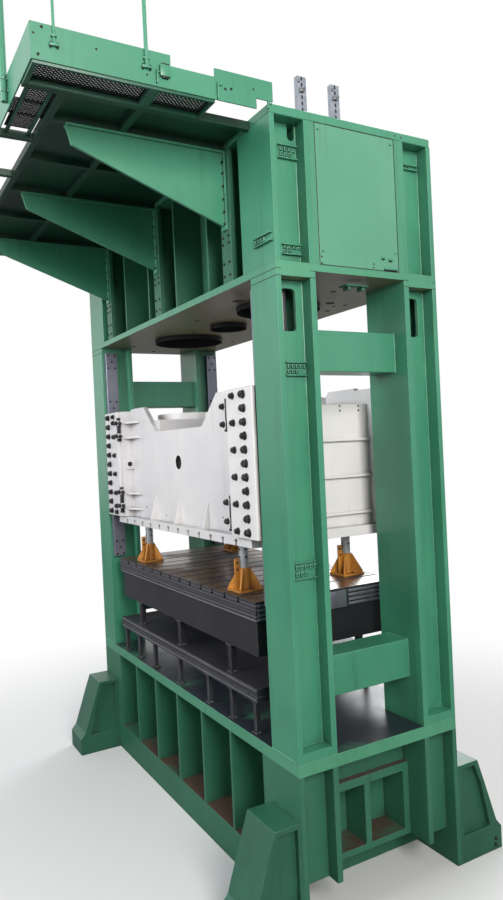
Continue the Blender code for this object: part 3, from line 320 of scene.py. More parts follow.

# Colours are linear; patch and grain are noise scales per metre. The grime colour also paints shade into
# corners, and the bare colour also paints highlights along edges
looks = {
    "greenPaint": {
        "tone": (0.040, 0.214, 0.124), "toneTwo": (0.056, 0.256, 0.152), "patch": 0.7, "runs": 0.30,
        "grimeAndShade": (0.018, 0.075, 0.045), "corners": 0.85, "bareAndEdgeLight": (0.16, 0.42, 0.27),
        "chips": (0.30, 0.62), "specks": 0.10, "rough": 0.36,
        "coat": 0.15,
    },
    "greenDeep": {
        "tone": (0.017, 0.090, 0.056), "toneTwo": (0.024, 0.116, 0.072), "patch": 0.9, "runs": 0.35,
        "grimeAndShade": (0.008, 0.030, 0.020), "corners": 0.9, "bareAndEdgeLight": (0.10, 0.30, 0.19),
        "chips": (0.35, 0.66), "specks": 0.08, "rough": 0.42,
    },
    # Painted shade: a darker copy of the green paint for the crown's recessed front webs, with the lit green
    # painted back on its ends past |X| 2.66
    "crownWebShaded": {
        "tone": (0.018, 0.098, 0.056), "toneTwo": (0.026, 0.128, 0.074), "patch": 0.9, "runs": 0.35,
        "grimeAndShade": (0.006, 0.026, 0.017), "corners": 0.95, "bareAndEdgeLight": (0.08, 0.26, 0.16),
        "chips": (0.35, 0.66), "specks": 0.08, "rough": 0.45,
        "ends": {"colour": (0.056, 0.230, 0.134), "from": 2.66},
    },
    # Painted shade: a darker copy of the green paint for the platform's deck and underside parts, standing in
    # for the shade under the platform
    "platformShaded": {
        "tone": (0.006, 0.035, 0.021), "toneTwo": (0.011, 0.055, 0.033), "patch": 0.9, "runs": 0.35,
        "grimeAndShade": (0.004, 0.012, 0.009), "corners": 0.9, "bareAndEdgeLight": (0.07, 0.22, 0.14),
        "chips": (0.35, 0.66), "specks": 0.08, "rough": 0.42,
    },
    "crownUnder": {
        "tone": (0.056, 0.235, 0.134), "toneTwo": (0.076, 0.280, 0.166), "patch": 0.7, "runs": 0.30,
        "grimeAndShade": (0.014, 0.030, 0.022), "corners": 0.8, "bareAndEdgeLight": (0.16, 0.42, 0.27),
        "chips": (0.30, 0.62), "specks": 0.06, "rough": 0.34,
        "under": {"colour": (0.240, 0.200, 0.115), "cover": (0.05, 0.20)},
    },
    "bedDeck": {
        "tone": (0.056, 0.235, 0.134), "toneTwo": (0.076, 0.280, 0.166), "patch": 0.7, "runs": 0.30,
        "grimeAndShade": (0.012, 0.030, 0.024), "corners": 0.85, "bareAndEdgeLight": (0.16, 0.42, 0.27),
        "chips": (0.30, 0.62), "specks": 0.10, "grain": 80.0, "rough": 0.40, "bump": 0.2,
        "upper": {"colour": (0.020, 0.026, 0.034), "cover": (0.25, 0.45)}, "upperRough": 0.31,
    },
    "bedBody": {
        "tone": (0.024, 0.124, 0.072), "toneTwo": (0.034, 0.152, 0.090), "patch": 0.8, "runs": 0.40,
        "grimeAndShade": (0.016, 0.050, 0.034), "corners": 0.9, "edge": 0.007, "bareAndEdgeLight": (0.120, 0.085, 0.055),
        "chips": (0.42, 0.66), "specks": 0.18, "grain": 80.0, "rough": 0.42, "bump": 0.2,
        "upper": {"colour": (0.075, 0.045, 0.034), "cover": (0.30, 0.52)},
    },
    "slideWhite": {
        "tone": (0.735, 0.715, 0.710), "toneTwo": (0.655, 0.640, 0.650), "patch": 0.8, "runs": 0.16,
        "grimeAndShade": (0.330, 0.300, 0.270), "corners": 0.55, "edge": 0.005, "bareAndEdgeLight": (0.45, 0.43, 0.42),
        "chips": (0.50, 0.74), "specks": 0.05, "grain": 90.0, "rough": 0.34, "bump": 0.10,
        "coat": 0.2,
        "upper": {"colour": (0.26, 0.27, 0.29), "cover": (0.30, 0.60)},
    },
    "bolsterSteel": {
        "tone": (0.011, 0.011, 0.016), "toneTwo": (0.020, 0.019, 0.026), "patch": 1.1, "runs": 0.30,
        "grimeAndShade": (0.018, 0.015, 0.016), "corners": 0.6, "bareAndEdgeLight": (0.20, 0.20, 0.23),
        "chips": (0.34, 0.60), "specks": 0.06, "grain": 60.0, "rough": 0.48, "metal": 0.2, "bump": 0.12,
        # Painted reflection: top faces turn brown in patches, standing in for the brownish reflection on the
        # oily top; upperRough makes those tops glossier
        "upper": {"colour": (0.110, 0.070, 0.042), "cover": (0.30, 0.55)}, "upperRough": 0.27,
        # Painted shade: the bolster's ends past |X| 1.972 turn darker, standing in for the shade cast there
        # by the columns and beams
        "ends": {"colour": (0.006, 0.007, 0.009), "from": 1.972},
        "lines": [
            (2.786, 0.125, 0.07), (2.845, 0.006, 0.5), (2.806, 0.005, 0.5), (2.738, 0.006, 0.6),
            (2.698, 0.007, 0.9),
        ],
    },
    "bandSteel": {
        "tone": (0.150, 0.158, 0.190), "toneTwo": (0.240, 0.250, 0.290), "patch": 2.5, "runs": 0.35,
        "grimeAndShade": (0.040, 0.040, 0.048), "corners": 0.6, "edge": 0.003, "bareAndEdgeLight": (0.46, 0.47, 0.50),
        "chips": (0.30, 0.58), "specks": 0.06, "grain": 120.0, "rough": 0.30, "metal": 0.7, "bump": 0.08,
    },
    "tableSteel": {
        "tone": (0.022, 0.022, 0.028), "toneTwo": (0.036, 0.036, 0.042), "patch": 1.3, "runs": 0.30,
        "grimeAndShade": (0.014, 0.012, 0.014), "corners": 0.6, "bareAndEdgeLight": (0.22, 0.22, 0.25),
        "chips": (0.30, 0.58), "specks": 0.10, "grain": 60.0, "rough": 0.50, "metal": 0.2, "bump": 0.14,
    },
    "railSteel": {
        "tone": (0.160, 0.168, 0.215), "toneTwo": (0.240, 0.250, 0.305), "patch": 1.5, "runs": 0.35,
        "grimeAndShade": (0.040, 0.042, 0.055), "corners": 0.6, "edge": 0.005, "bareAndEdgeLight": (0.36, 0.37, 0.42),
        "chips": (0.36, 0.62), "specks": 0.05, "grain": 140.0, "rough": 0.34, "metal": 0.6, "bump": 0.08,
    },
    "propOrange": {
        "tone": (0.580, 0.245, 0.028), "toneTwo": (0.450, 0.175, 0.022), "patch": 5.0, "runs": 0.35,
        "grimeAndShade": (0.160, 0.075, 0.025), "corners": 0.7, "edge": 0.005, "bareAndEdgeLight": (0.30, 0.17, 0.09),
        "chips": (0.34, 0.60), "specks": 0.15, "grain": 90.0, "rough": 0.42, "bump": 0.2,
    },
    "propSteel": {
        "tone": (0.400, 0.420, 0.450), "toneTwo": (0.520, 0.540, 0.560), "patch": 6.0, "runs": 0.35,
        "grimeAndShade": (0.200, 0.150, 0.090), "corners": 0.6, "edge": 0.004, "bareAndEdgeLight": (0.62, 0.64, 0.66),
        "chips": (0.36, 0.62), "specks": 0.08, "grain": 150.0, "rough": 0.34, "metal": 0.55, "bump": 0.1,
    },
    "galvanised": {
        "tone": (0.250, 0.280, 0.330), "toneTwo": (0.360, 0.390, 0.440), "patch": 14.0, "runs": 0.20,
        "grimeAndShade": (0.120, 0.130, 0.150), "corners": 0.5, "edge": 0.002, "bareAndEdgeLight": (0.50, 0.53, 0.58),
        "chips": (0.40, 0.66), "specks": 0.10, "grain": 60.0, "rough": 0.38, "metal": 0.75, "bump": 0.06,
    },
    "rodSteel": {
        "tone": (0.180, 0.180, 0.190), "toneTwo": (0.260, 0.260, 0.270), "patch": 3.0, "runs": 0.3,
        "grimeAndShade": (0.060, 0.055, 0.050), "corners": 0.6, "edge": 0.003, "bareAndEdgeLight": (0.40, 0.40, 0.41),
        "chips": (0.38, 0.64), "specks": 0.06, "grain": 130.0, "rough": 0.38, "metal": 0.8, "bump": 0.1,
    },
    "boltBlack": {
        "tone": (0.014, 0.013, 0.016), "toneTwo": (0.026, 0.025, 0.029), "patch": 8.0, "runs": 0.2,
        "grimeAndShade": (0.010, 0.008, 0.006), "corners": 0.3, "edge": 0.002, "bareAndEdgeLight": (0.12, 0.12, 0.13),
        "chips": (0.36, 0.62), "specks": 0.08, "grain": 160.0, "rough": 0.36, "metal": 0.5, "bump": 0.1,
    },
    # Near-black for painted shade inside holes, slots, slits and bores and for painted shadows under the
    # cover latches, and for the dark joint lines
    "holeDark": {
        "tone": (0.006, 0.006, 0.007), "toneTwo": (0.010, 0.010, 0.011), "patch": 9.0, "runs": 0.1,
        "grimeAndShade": (0.003, 0.003, 0.003), "corners": 0.2, "edge": 0.001, "bareAndEdgeLight": (0.02, 0.02, 0.02),
        "chips": (0.60, 0.80), "specks": 0.02, "grain": 120.0, "rough": 0.7, "bump": 0.05,
    },
}

# The end covers get a lighter copy of the same paint: painted light on the covers
looks["coverPaintLit"] = {**looks["greenPaint"], "tone": (0.078, 0.262, 0.164), "toneTwo": (0.098, 0.300, 0.194)}

materials = {name: surface(name, {**common, **look}) for name, look in looks.items()}

# The first entry that starts a node's name sets its look
nodeLooks = [
    ("bed_body", "bedBody"),
    ("bed_deck", "bedDeck"),
    ("foot_", "greenDeep"),
    ("column_", "greenPaint"),
    ("cross_beam_", "greenPaint"),
    ("guide_rail_", "railSteel"),
    ("tie_rod_", "rodSteel"),
    ("crown_floor", "crownUnder"),
    ("crown_body", "crownWebShaded"),
    ("crown_cover_", "coverPaintLit"),
    ("crown_", "greenPaint"),
    ("bolster_", "bolsterSteel"),
    ("lower_table", "tableSteel"),
    ("slide_", "slideWhite"),
    ("prop_base_", "propOrange"),
    ("prop_post_", "propSteel"),
    ("platform_fascia_", "greenPaint"),
    ("platform_bracket_", "greenPaint"),
    ("platform_", "platformShaded"),
    ("channel_", "galvanised"),
]


def dressNodes():
    for name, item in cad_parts.items():
        look = next(value for start, value in nodeLooks if name.startswith(start))
        for slot in item.material_slots:
            slot.material = materials[look]


corners = [(-1, -1), (-1, 1), (1, -1), (1, 1)]


def handName(hand, depth):
    return ("Front" if depth < 0 else "Rear") + ("Right" if hand > 0 else "Left")


def cornerName(start, hand, depth):
    return start + ("_front" if depth < 0 else "_rear") + ("_right" if hand > 0 else "_left")


# Frames whose local Z points out of a face
def outOf(direction, place):
    axis = Vector(direction).normalized()
    return Matrix.Translation(place) @ axis.to_track_quat("Z", "Y").to_matrix().to_4x4()


# A mesh spun from half outlines given as (radius, height), from axis to axis
def turnedMesh(name, outlines):
    shape = bmesh.new()
    for outline, sides, phase in outlines:
        start = [shape.verts.new((radius, 0.0, height)) for radius, height in outline]
        edges = [shape.edges.new(pair) for pair in zip(start, start[1:])]
        bmesh.ops.rotate(shape, verts=start, cent=(0, 0, 0), matrix=Matrix.Rotation(phase, 3, "Z"))
        bmesh.ops.spin(
            shape, geom=start + edges, cent=(0, 0, 0), axis=(0, 0, 1), angle=math.tau, steps=sides,
            use_merge=True,
        )
    bmesh.ops.remove_doubles(shape, verts=shape.verts, dist=0.00001)
    bmesh.ops.recalc_face_normals(shape, faces=shape.faces)
    mesh = bpy.data.meshes.new(name)
    shape.to_mesh(mesh)
    shape.free()
    return mesh


def stamp(shape, mesh, matrix):
    placed = mesh.copy()
    placed.transform(matrix)
    shape.from_mesh(placed)
    bpy.data.meshes.remove(placed)


def slab(shape, low, high, bevel=0.0, matrix=None):
    centre = (Vector(low) + Vector(high)) / 2
    size = Vector(high) - Vector(low)
    place = Matrix.Translation(centre) @ Matrix.Diagonal((abs(size.x), abs(size.y), abs(size.z), 1.0))
    if matrix is not None:
        place = matrix @ place
    made = bmesh.ops.create_cube(shape, size=1.0, matrix=place)
    if bevel:
        edges = {edge for vert in made["verts"] for edge in vert.link_edges}
        bmesh.ops.bevel(
            shape, geom=list(edges), offset=bevel, segments=2, profile=0.5, affect="EDGES", material=-1
        )


# Unit fasteners: washer radius 1, standing on the face
fasteners = {
    "hex": turnedMesh("hexFastener", [
        ([(0, -0.02), (1.0, -0.02), (1.0, 0.13), (0.94, 0.18), (0, 0.18)], 20, 0.0),
        ([(0, 0.14), (0.78, 0.14), (0.84, 0.24), (0.84, 0.84), (0.72, 1.0), (0, 1.0)], 6, 0.0),
        ([(0, 0.9), (0.40, 0.9), (0.40, 1.16), (0.34, 1.24), (0, 1.24)], 12, 0.0),
    ]),
    "socket": turnedMesh("socketFastener", [(
        [(0, -0.02), (1.0, -0.02), (1.0, 0.42), (0.90, 0.52), (0.50, 0.52), (0.50, 0.20), (0, 0.20)], 16, 0.0,
    )]),
    "plug": turnedMesh("plugFastener", [
        ([(0, -0.10), (1.0, -0.10), (1.0, 0.06), (0.90, 0.10), (0, 0.10)], 16, 0.0),
    ]),
}


def bolt(shape, kind, place, direction, radius, turn=0.0, height=None):
    scale = Matrix.Diagonal((radius, radius, height or radius, 1.0))
    stamp(shape, fasteners[kind], outOf(direction, place) @ Matrix.Rotation(turn, 4, "Z") @ scale)


def keep(shape, name, look, body):
    bmesh.ops.recalc_face_normals(shape, faces=shape.faces)
    mesh = bpy.data.meshes.new(name)
    shape.to_mesh(mesh)
    shape.free()
    mesh.shade_smooth()
    mesh.set_sharp_from_angle(angle=math.radians(32))
    mesh.materials.append(materials[look])
    item = bpy.data.objects.new(name, mesh)
    bpy.context.scene.collection.objects.link(item)
    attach(item, body)
    return item


# Bolts of the slide's guide plates, seen from the front and repeated on the rear
guideBolts = {
    "outerX": 2.066,
    "outerZ": [4.960 - 0.137 * index for index in range(11)],
    "innerX": 1.845,
    "innerRightZ": [4.960 - 0.2738 * index for index in range(6)],
    "innerLeftZ": [4.964, 4.876, 4.673, 4.404, 4.134, 3.857, 3.667, 3.579],
    "washer": 0.044,
    "innerScale": 0.86,
}


def addGuideBolts(values):
    shape = bmesh.new()
    for depth, hand in ((-1, 1), (-1, -1), (1, 1), (1, -1)):
        low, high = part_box(cornerName("slide_guide", hand, depth))
        y = low[1] if depth < 0 else high[1]
        inner = values["innerLeftZ"] if (depth < 0 and hand < 0) else values["innerRightZ"]
        stations = [(values["outerX"], z, 1.0) for z in values["outerZ"]]
        stations += [(values["innerX"], z, values["innerScale"]) for z in inner]
        for number, (x, z, scale) in enumerate(stations):
            bolt(shape, "hex", (hand * x, y, z), (0, depth, 0), values["washer"] * scale, 0.4 + number * 1.3)
    keep(shape, "guideBolts", "boltBlack", "slide")


# Adjusting screws on the lugs and the keeper strips beside them
lugs = {
    "x": (1.663, 1.592),
    "face": 1.005,
    "z": [4.865, 4.680, 3.876, 3.680],
    "washer": (0.036, 0.030),
    "keeperX": (1.681, 1.699),
    "keeperZ": [(4.617, 4.944), (3.590, 3.945)],
    "keeperY": (0.936, 0.993),
    "toeY": (0.939, 0.999),
    "sideY": 0.975,
}


def addLugScrews(values):
    shape = bmesh.new()
    frontX, sideX = values["x"]
    left, right = values["keeperX"]
    for depth, hand in corners:
        for number, z in enumerate(values["z"]):
            place = (hand * frontX, depth * (values["face"] - 0.002), z)
            bolt(shape, "hex", place, (0, depth, 0), values["washer"][0], number)
            place = (hand * (sideX + 0.030), depth * values["sideY"], z - 0.004)
            bolt(shape, "hex", place, (-hand, 0, 0), values["washer"][1], number)
        for low, high in values["keeperZ"]:
            near, far = (depth * y for y in values["keeperY"])
            slab(shape, (hand * left, near, low), (hand * right, far, high), 0.003)
            near, far = (depth * y for y in values["toeY"])
            slab(shape, (hand * (left - 0.016), near, low - 0.012), (hand * right, far, low + 0.012), 0.003)
    keep(shape, "lugScrews", "boltBlack", "slide")


# Dark floors of the eyes, small tapped holes and the lifting eyes on the block sides, near-black as painted
# shade inside these holes
slideHoles = {
    "eye": (0.0, 0.7980, 4.286, 0.0870),
    "eyeDepth": 0.036,
    "plate": [(-1.151, 3.670, 0.014), (-0.465, 3.593, 0.012), (1.151, 3.670, 0.012)],
    "side": [(0.337, 4.840), (0.593, 4.840), (0.337, 4.790), (0.593, 4.790)],
    "sideX": 1.870,
    "lift": (1.6205, 0.846, 4.272, 0.036),
    "ledgeY": (0.894, 0.788),
}


def addSlideHoles(values):
    shape = bmesh.new()
    ledges = bmesh.new()
    x, y, z, radius = values["eye"]
    deep = -values["eyeDepth"]
    inner = radius - 0.003
    outline = [(0, deep), (radius, deep), (radius, -0.001)]
    outline += [(inner, -0.001), (inner, deep + 0.003), (0, deep + 0.003)]
    cup = turnedMesh("eyeCup", [(outline, 48, 0.0)])
    liftX, liftY, liftZ, liftRadius = values["lift"]
    for depth in (-1, 1):
        stamp(shape, cup, outOf((0, depth, 0), (x, depth * y, z)))
        for along, level, size in values["plate"]:
            bolt(shape, "plug", (along, depth * y, level), (0, depth, 0), size, 0.0, 0.006)
        near, far = (depth * station for station in values["ledgeY"])
        for hand in (-1, 1):
            for station, level in values["side"]:
                place = (hand * values["sideX"], depth * station, level)
                bolt(shape, "plug", place, (hand, 0, 0), 0.012, 0.0, 0.006)
            place = (hand * liftX, depth * liftY, liftZ)
            bolt(shape, "plug", place, (-hand, 0, 0), liftRadius, 0.0, 0.008)
            first = (hand * (liftX - 0.035), near, liftZ - 0.072)
            slab(ledges, first, (hand * liftX, far, liftZ - 0.060), 0.002)
    keep(shape, "slideHoles", "holeDark", "slide")
    keep(ledges, "slideLedges", "slideWhite", "slide")


# Socket screws that hold the guide rails to the columns
gibScrews = {"inset": 0.034, "offset": 0.050, "radius": 0.015, "group": 0.195, "groups": 5}


def addGibScrews(values):
    shape = bmesh.new()
    group = values["group"]
    spots = [(side, drop) for side in (-1, 1) for drop in (0.0, group)] + [(0, group / 2)]
    for depth, hand in corners:
        low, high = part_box(cornerName("guide_rail", hand, depth))
        x = low[0] if hand > 0 else high[0]
        middle = (low[1] + high[1]) / 2
        travel = high[2] - low[2] - 2 * values["inset"] - group
        for number in range(values["groups"]):
            top = high[2] - values["inset"] - travel * number / (values["groups"] - 1)
            for side, drop in spots:
                place = (x, middle + side * values["offset"], top - drop)
                bolt(shape, "socket", place, (-hand, 0, 0), values["radius"], 0.0, 0.012)
    keep(shape, "gibScrews", "boltBlack", "frame")


# Pipe clamps: a tray with two ledges, blocks between them and small screws
clamps = {
    "webX": 2.615,
    "web": [
        (-0.800, -0.560, 7.110, 7.230, 2),
        (-0.800, -0.600, 6.215, 6.305, 2),
        (-0.820, -0.600, 5.085, 5.205, 2),
        (-0.835, -0.580, 3.185, 3.335, 2),
        (0.690, 0.900, 7.232, 7.276, 1),
    ],
    "frontY": -0.970,
    "front": [(2.430, 2.730, 6.300, 6.372, 1)],
    "reach": 0.034,
}


def clampTray(shape, screws, matrix, length, height, rows, reach):
    slab(shape, (-length / 2, -height / 2, -0.002), (length / 2, height / 2, 0.006), 0.0, matrix)
    for edge in (-1, 1):
        first = (-length / 2 - 0.006, edge * height / 2 - 0.006, -0.002)
        slab(shape, first, (length / 2 + 0.006, edge * height / 2 + 0.006, reach), 0.002, matrix)
    count = max(3, round(length / 0.048))
    pitch = length / count
    depth = (height - 0.020) / rows
    for row in range(rows):
        v = -height / 2 + 0.010 + depth * (row + 0.5)
        for column in range(count - (row == 0) * 2):
            u = -length / 2 + pitch * (column + 0.5)
            first = (u - pitch * 0.34, v - depth * 0.36, 0.0)
            slab(shape, first, (u + pitch * 0.34, v + depth * 0.36, reach * 0.82), 0.003, matrix)
            place = matrix @ Vector((u, v, reach * 0.82))
            out = matrix.to_3x3() @ Vector((0, 0, 1))
            bolt(screws, "hex", place, out, 0.008, u * 40)


def addPipeClamps(values):
    shape = bmesh.new()
    screws = bmesh.new()
    for low, high, bottom, top, rows in values["web"]:
        place = (values["webX"], (low + high) / 2, (bottom + top) / 2)
        clampTray(shape, screws, outOf((1, 0, 0), place), high - low, top - bottom, rows, values["reach"])
    for low, high, bottom, top, rows in values["front"]:
        place = ((low + high) / 2, values["frontY"], (bottom + top) / 2)
        clampTray(shape, screws, outOf((0, -1, 0), place), high - low, top - bottom, rows, values["reach"])
    keep(shape, "pipeClamps", "greenPaint", "frame")
    keep(screws, "pipeClampScrews", "boltBlack", "frame")


# Latches, edge screws and holes of the crown's right cover, with painted shadows under the latches and
# near-black discs as painted shade in the holes
cover = {
    "latches": [(0.262, 0.298, 6.226, 6.248), (0.350, 0.390, 6.214, 6.236), (0.287, 0.453, 6.122, 6.140)],
    "holes": [(-0.460, 6.185), (-0.460, 6.124), (0.162, 6.167), (0.160, 6.132)],
    "corners": [(-0.440, 7.380), (0.440, 7.380), (-0.440, 6.240), (0.440, 6.300)],
    "strip": [(0.505, 7.482), (0.583, 7.476)],
}


def addCoverFittings(values):
    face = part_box("crown_cover_right")[1][0]
    shape = bmesh.new()
    dark = bmesh.new()
    for low, high, bottom, top in values["latches"]:
        slab(shape, (face - 0.002, low, bottom), (face + 0.022, high, top), 0.003)
        # Painted shadow: a near-black strip just under each latch
        slab(dark, (face - 0.002, low + 0.006, bottom - 0.007), (face + 0.016, high - 0.002, bottom), 0.001)
    for y, z in values["holes"] + values["strip"]:
        bolt(dark, "plug", (face, y, z), (1, 0, 0), 0.010, 0.0, 0.006)
    for y, z in values["corners"]:
        bolt(shape, "hex", (face, y, z), (1, 0, 0), 0.012, y)
    keep(shape, "coverLatches", "greenPaint", "frame")
    keep(dark, "coverHolesAndShadows", "holeDark", "frame")


# Weld beads along the frame's joints
welds = {
    "radius": 0.007,
    "beamX": (2.248, 2.575),
    "beamZ": [(5.132, 5.531), (1.997, 2.387)],
    "beamY": 0.540,
    "webX": 2.615,
    "webY": (0.918, 0.602),
    "webZ": [(1.560, 5.960), (6.125, 7.430)],
    "footX": (2.300, 2.730),
    "footY": 0.970,
    "footZ": 1.546,
}


def bead(shape, start, end, radius):
    start, end = Vector(start), Vector(end)
    axis = end - start
    place = Matrix.Translation((start + end) / 2) @ axis.to_track_quat("Z", "Y").to_matrix().to_4x4()
    bmesh.ops.create_cone(
        shape, cap_ends=True, cap_tris=False, segments=8, radius1=radius, radius2=radius,
        depth=axis.length, matrix=place,
    )


def addWelds(values):
    shape = bmesh.new()
    size = values["radius"]
    for hand, depth in corners:
        inner, outer = (hand * x for x in values["beamX"])
        y = depth * values["beamY"]
        for bottom, top in values["beamZ"]:
            bead(shape, (outer, y, bottom), (outer, y, top), size)
            bead(shape, (inner, y, bottom), (inner, y, top), size)
            bead(shape, (inner, y, top), (outer, y, top), size)
            bead(shape, (inner, y, bottom), (outer, y, bottom), size)
        for station in values["webY"]:
            for bottom, top in values["webZ"]:
                spot = (hand * values["webX"], depth * station)
                bead(shape, (*spot, bottom), (*spot, top), size)
        first, second = (hand * x for x in values["footX"])
        y = depth * values["footY"]
        bead(shape, (first, y, values["footZ"]), (second, y, values["footZ"]), size)
    keep(shape, "weldBeads", "greenPaint", "frame")


# Joint lines at the column heads and round the right end cover
seams = {
    "z": (5.976, 6.040),
    "half": 0.003,
    "face": (2.297, 2.763),
    "depth": 0.970,
    "flanges": [(0.920, 0.970), (0.540, 0.600)],
    "webX": 2.615,
    "web": (0.602, 0.918),
    "coverHalf": 0.004,
}


def addSeams(values):
    shape = bmesh.new()
    half, wall, web = values["half"], values["depth"], values["webX"]
    inner, outer = values["face"]
    for hand, depth in corners:
        strips = [(inner, outer, wall - 0.002, wall + 0.001), (web - 0.002, web + 0.001, *values["web"])]
        if hand > 0:
            strips += [(outer - 0.002, outer + 0.001, near, far) for near, far in values["flanges"]]
        for left, right, near, far in strips:
            for z in values["z"]:
                slab(shape, (hand * left, depth * near, z - half), (hand * right, depth * far, z + half))
    low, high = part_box("crown_cover_right")
    start, end = high[0] - 0.003, high[0] + 0.001
    width = values["coverHalf"]
    for y in (low[1], high[1]):
        slab(shape, (start, y - width, low[2]), (end, y + width, high[2]))
    for z in (low[2], high[2]):
        slab(shape, (start, low[1], z - width), (end, high[1], z + width))
    keep(shape, "frameSeams", "holeDark", "frame")


# Straps, pads and struts on the platform's fascias
railing = {
    "face": 2.763,
    "frontX": 1.888,
    "frontStraps": [7.585, 7.690],
    "strapY": (-3.073, -3.064),
    "clipY": (-3.119, -3.066),
    "rods": [(-2.134, 0.017), (-2.886, 0.012)],
    "seatZ": (7.566, 7.586),
    "pocket": ((-2.020, 7.530), (-1.925, 7.625)),
    "struts": [
        (-2.052, -2.022, 7.466, 7.580), (-1.490, -1.455, 7.453, 7.594), (-0.985, -0.960, 7.460, 7.530),
    ],
    "bolts": [(-1.407, 7.552), (-1.348, 7.565), (-2.975, 7.700), (-3.010, 7.485)],
    "holes": [(-3.040, 7.640), (-2.550, 7.630), (-2.130, 7.520), (-1.120, 7.610)],
}


def addRailingFittings(values):
    shape = bmesh.new()
    dark = bmesh.new()
    face = values["face"]
    x = values["frontX"]
    front, back = values["strapY"]
    for z in values["frontStraps"]:
        slab(shape, (x - 0.060, front, z - 0.020), (x + 0.060, back, z + 0.020), 0.002)
        near, far = values["clipY"]
        slab(shape, (x - 0.036, near, z - 0.013), (x + 0.036, far, z + 0.013), 0.004)
        for side in (-1, 1):
            bolt(dark, "hex", (x + side * 0.048, front, z), (0, -1, 0), 0.010, z * 9)
    low, high = values["seatZ"]
    for y, radius in values["rods"]:
        reach = radius + 0.026
        slab(shape, (face - 0.002, y - reach, low), (face + 0.027, y + reach, high), 0.003)
        first = (face - 0.002, y - radius - 0.010, low + 0.070)
        slab(shape, first, (face + 0.028, y + radius + 0.010, low + 0.086), 0.003)
        for side in (-1, 1):
            spot = (face + 0.013, y + side * (radius + 0.015))
            bolt(dark, "hex", (*spot, high), (0, 0, 1), 0.011, y)
            bolt(dark, "hex", (*spot, low), (0, 0, -1), 0.010, y)
    (near, bottom), (far, top) = values["pocket"]
    slab(shape, (face - 0.002, near, bottom), (face + 0.028, far, top), 0.004)
    slab(dark, (face + 0.004, near + 0.012, top - 0.004), (face + 0.024, far - 0.012, top + 0.012), 0.002)
    first = (face + 0.004, near + 0.020, bottom - 0.014)
    slab(dark, first, (face + 0.024, far - 0.020, bottom + 0.004), 0.002)
    for near, far, bottom, top in values["struts"]:
        slab(shape, (face - 0.002, near, bottom), (face + 0.022, near + 0.012, top), 0.002)
        slab(shape, (face - 0.002, near, top - 0.022), (face + 0.012, far + 0.020, top - 0.010), 0.002)
    for y, z in values["bolts"]:
        bolt(dark, "hex", (face, y, z), (1, 0, 0), 0.012, y)
    for y, z in values["holes"]:
        bolt(dark, "plug", (face, y, z), (1, 0, 0), 0.010, 0.0, 0.006)
    keep(shape, "railingStraps", "greenPaint", "frame")
    keep(dark, "railingBolts", "boltBlack", "frame")


# Perforated sheets: a grid whose every second cell is inset and opened
grating = {
    "rim": 0.025,
    "panels": [(-3.010, -2.090), (-2.000, -1.520)],
    "pitch": 0.019,
    "web": 0.0032,
    "thickness": 0.005,
    "sheetZ": 7.470,
    "tray": [(1.470, 1.760, -3.020, -2.760), (1.720, 2.020, -3.048, -2.735), (1.980, 2.250, -2.990, -2.720)],
    "trayZ": 7.489,
    "bars": (1.402, 2.348),
    "barY": (-2.985, -2.790),
}


def perforated(shape, low, high, z, values):
    size = Vector((high[0] - low[0], high[1] - low[1], 1.0))
    columns, rows = (max(2, round(size[axis] / values["pitch"])) for axis in (0, 1))
    centre = Vector(((low[0] + high[0]) / 2, (low[1] + high[1]) / 2, z))
    sheet = bmesh.new()
    bmesh.ops.create_grid(
        sheet, x_segments=columns, y_segments=rows, size=0.5,
        matrix=Matrix.Translation(centre) @ Matrix.Diagonal((size[0], size[1], 1.0, 1.0)),
    )
    picked = []
    for face in sheet.faces:
        middle = face.calc_center_median()
        column = int((middle.x - low[0]) / size[0] * columns)
        row = int((middle.y - low[1]) / size[1] * rows)
        edgeCell = column in (0, columns - 1) or row in (0, rows - 1)
        if (column + row) % 2 and not edgeCell:
            picked.append(face)
    bmesh.ops.inset_individual(sheet, faces=picked, thickness=values["web"], use_even_offset=True)
    bmesh.ops.delete(sheet, geom=picked, context="FACES_ONLY")
    bmesh.ops.solidify(sheet, geom=list(sheet.faces), thickness=values["thickness"])
    bmesh.ops.recalc_face_normals(sheet, faces=sheet.faces)
    mesh = bpy.data.meshes.new("sheet")
    sheet.to_mesh(mesh)
    sheet.free()
    stamp(shape, mesh, Matrix.Identity(4))
    bpy.data.meshes.remove(mesh)


def addGratings(values):
    low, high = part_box("platform_grating")
    rim = values["rim"]
    rails = bmesh.new()
    for first, second in ((low[0], low[0] + rim), (high[0] - rim, high[0])):
        slab(rails, (first, low[1], low[2]), (second, high[1], high[2]), 0.002)
    cross = [low[1], *[edge for panel in values["panels"] for edge in panel], high[1]]
    for first, second in zip(cross[::2], cross[1::2]):
        slab(rails, (low[0] + rim - 0.004, first, low[2]), (high[0] - rim + 0.004, second, high[2]), 0.002)
    for y in values["barY"]:
        first = (values["bars"][0] - 0.004, y - 0.014, values["trayZ"] - 0.034)
        slab(rails, first, (values["bars"][1] + 0.004, y + 0.014, values["trayZ"] - 0.003), 0.002)
    piece = keep(rails, "gratingFrame", "greenDeep", "frame")
    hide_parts("platform_grating")
    sheets = bmesh.new()
    for first, second in values["panels"]:
        start = (low[0] + rim - 0.006, first - 0.006)
        end = (high[0] - rim + 0.006, second + 0.006)
        perforated(sheets, start, end, values["sheetZ"], values)
    for number, (left, right, front, back) in enumerate(values["tray"]):
        perforated(sheets, (left, front), (right, back), values["trayZ"] + number % 2 * 0.006, values)
    keep(sheets, "gratingSheets", "boltBlack", "frame")


# Slots and end bolts of the two zinc channels on the crown; the slots are near-black discs, painted shade in
# the openings
channels = {"pitch": 0.058, "start": 0.040, "count": 6, "radius": 0.011, "stretch": 1.9}


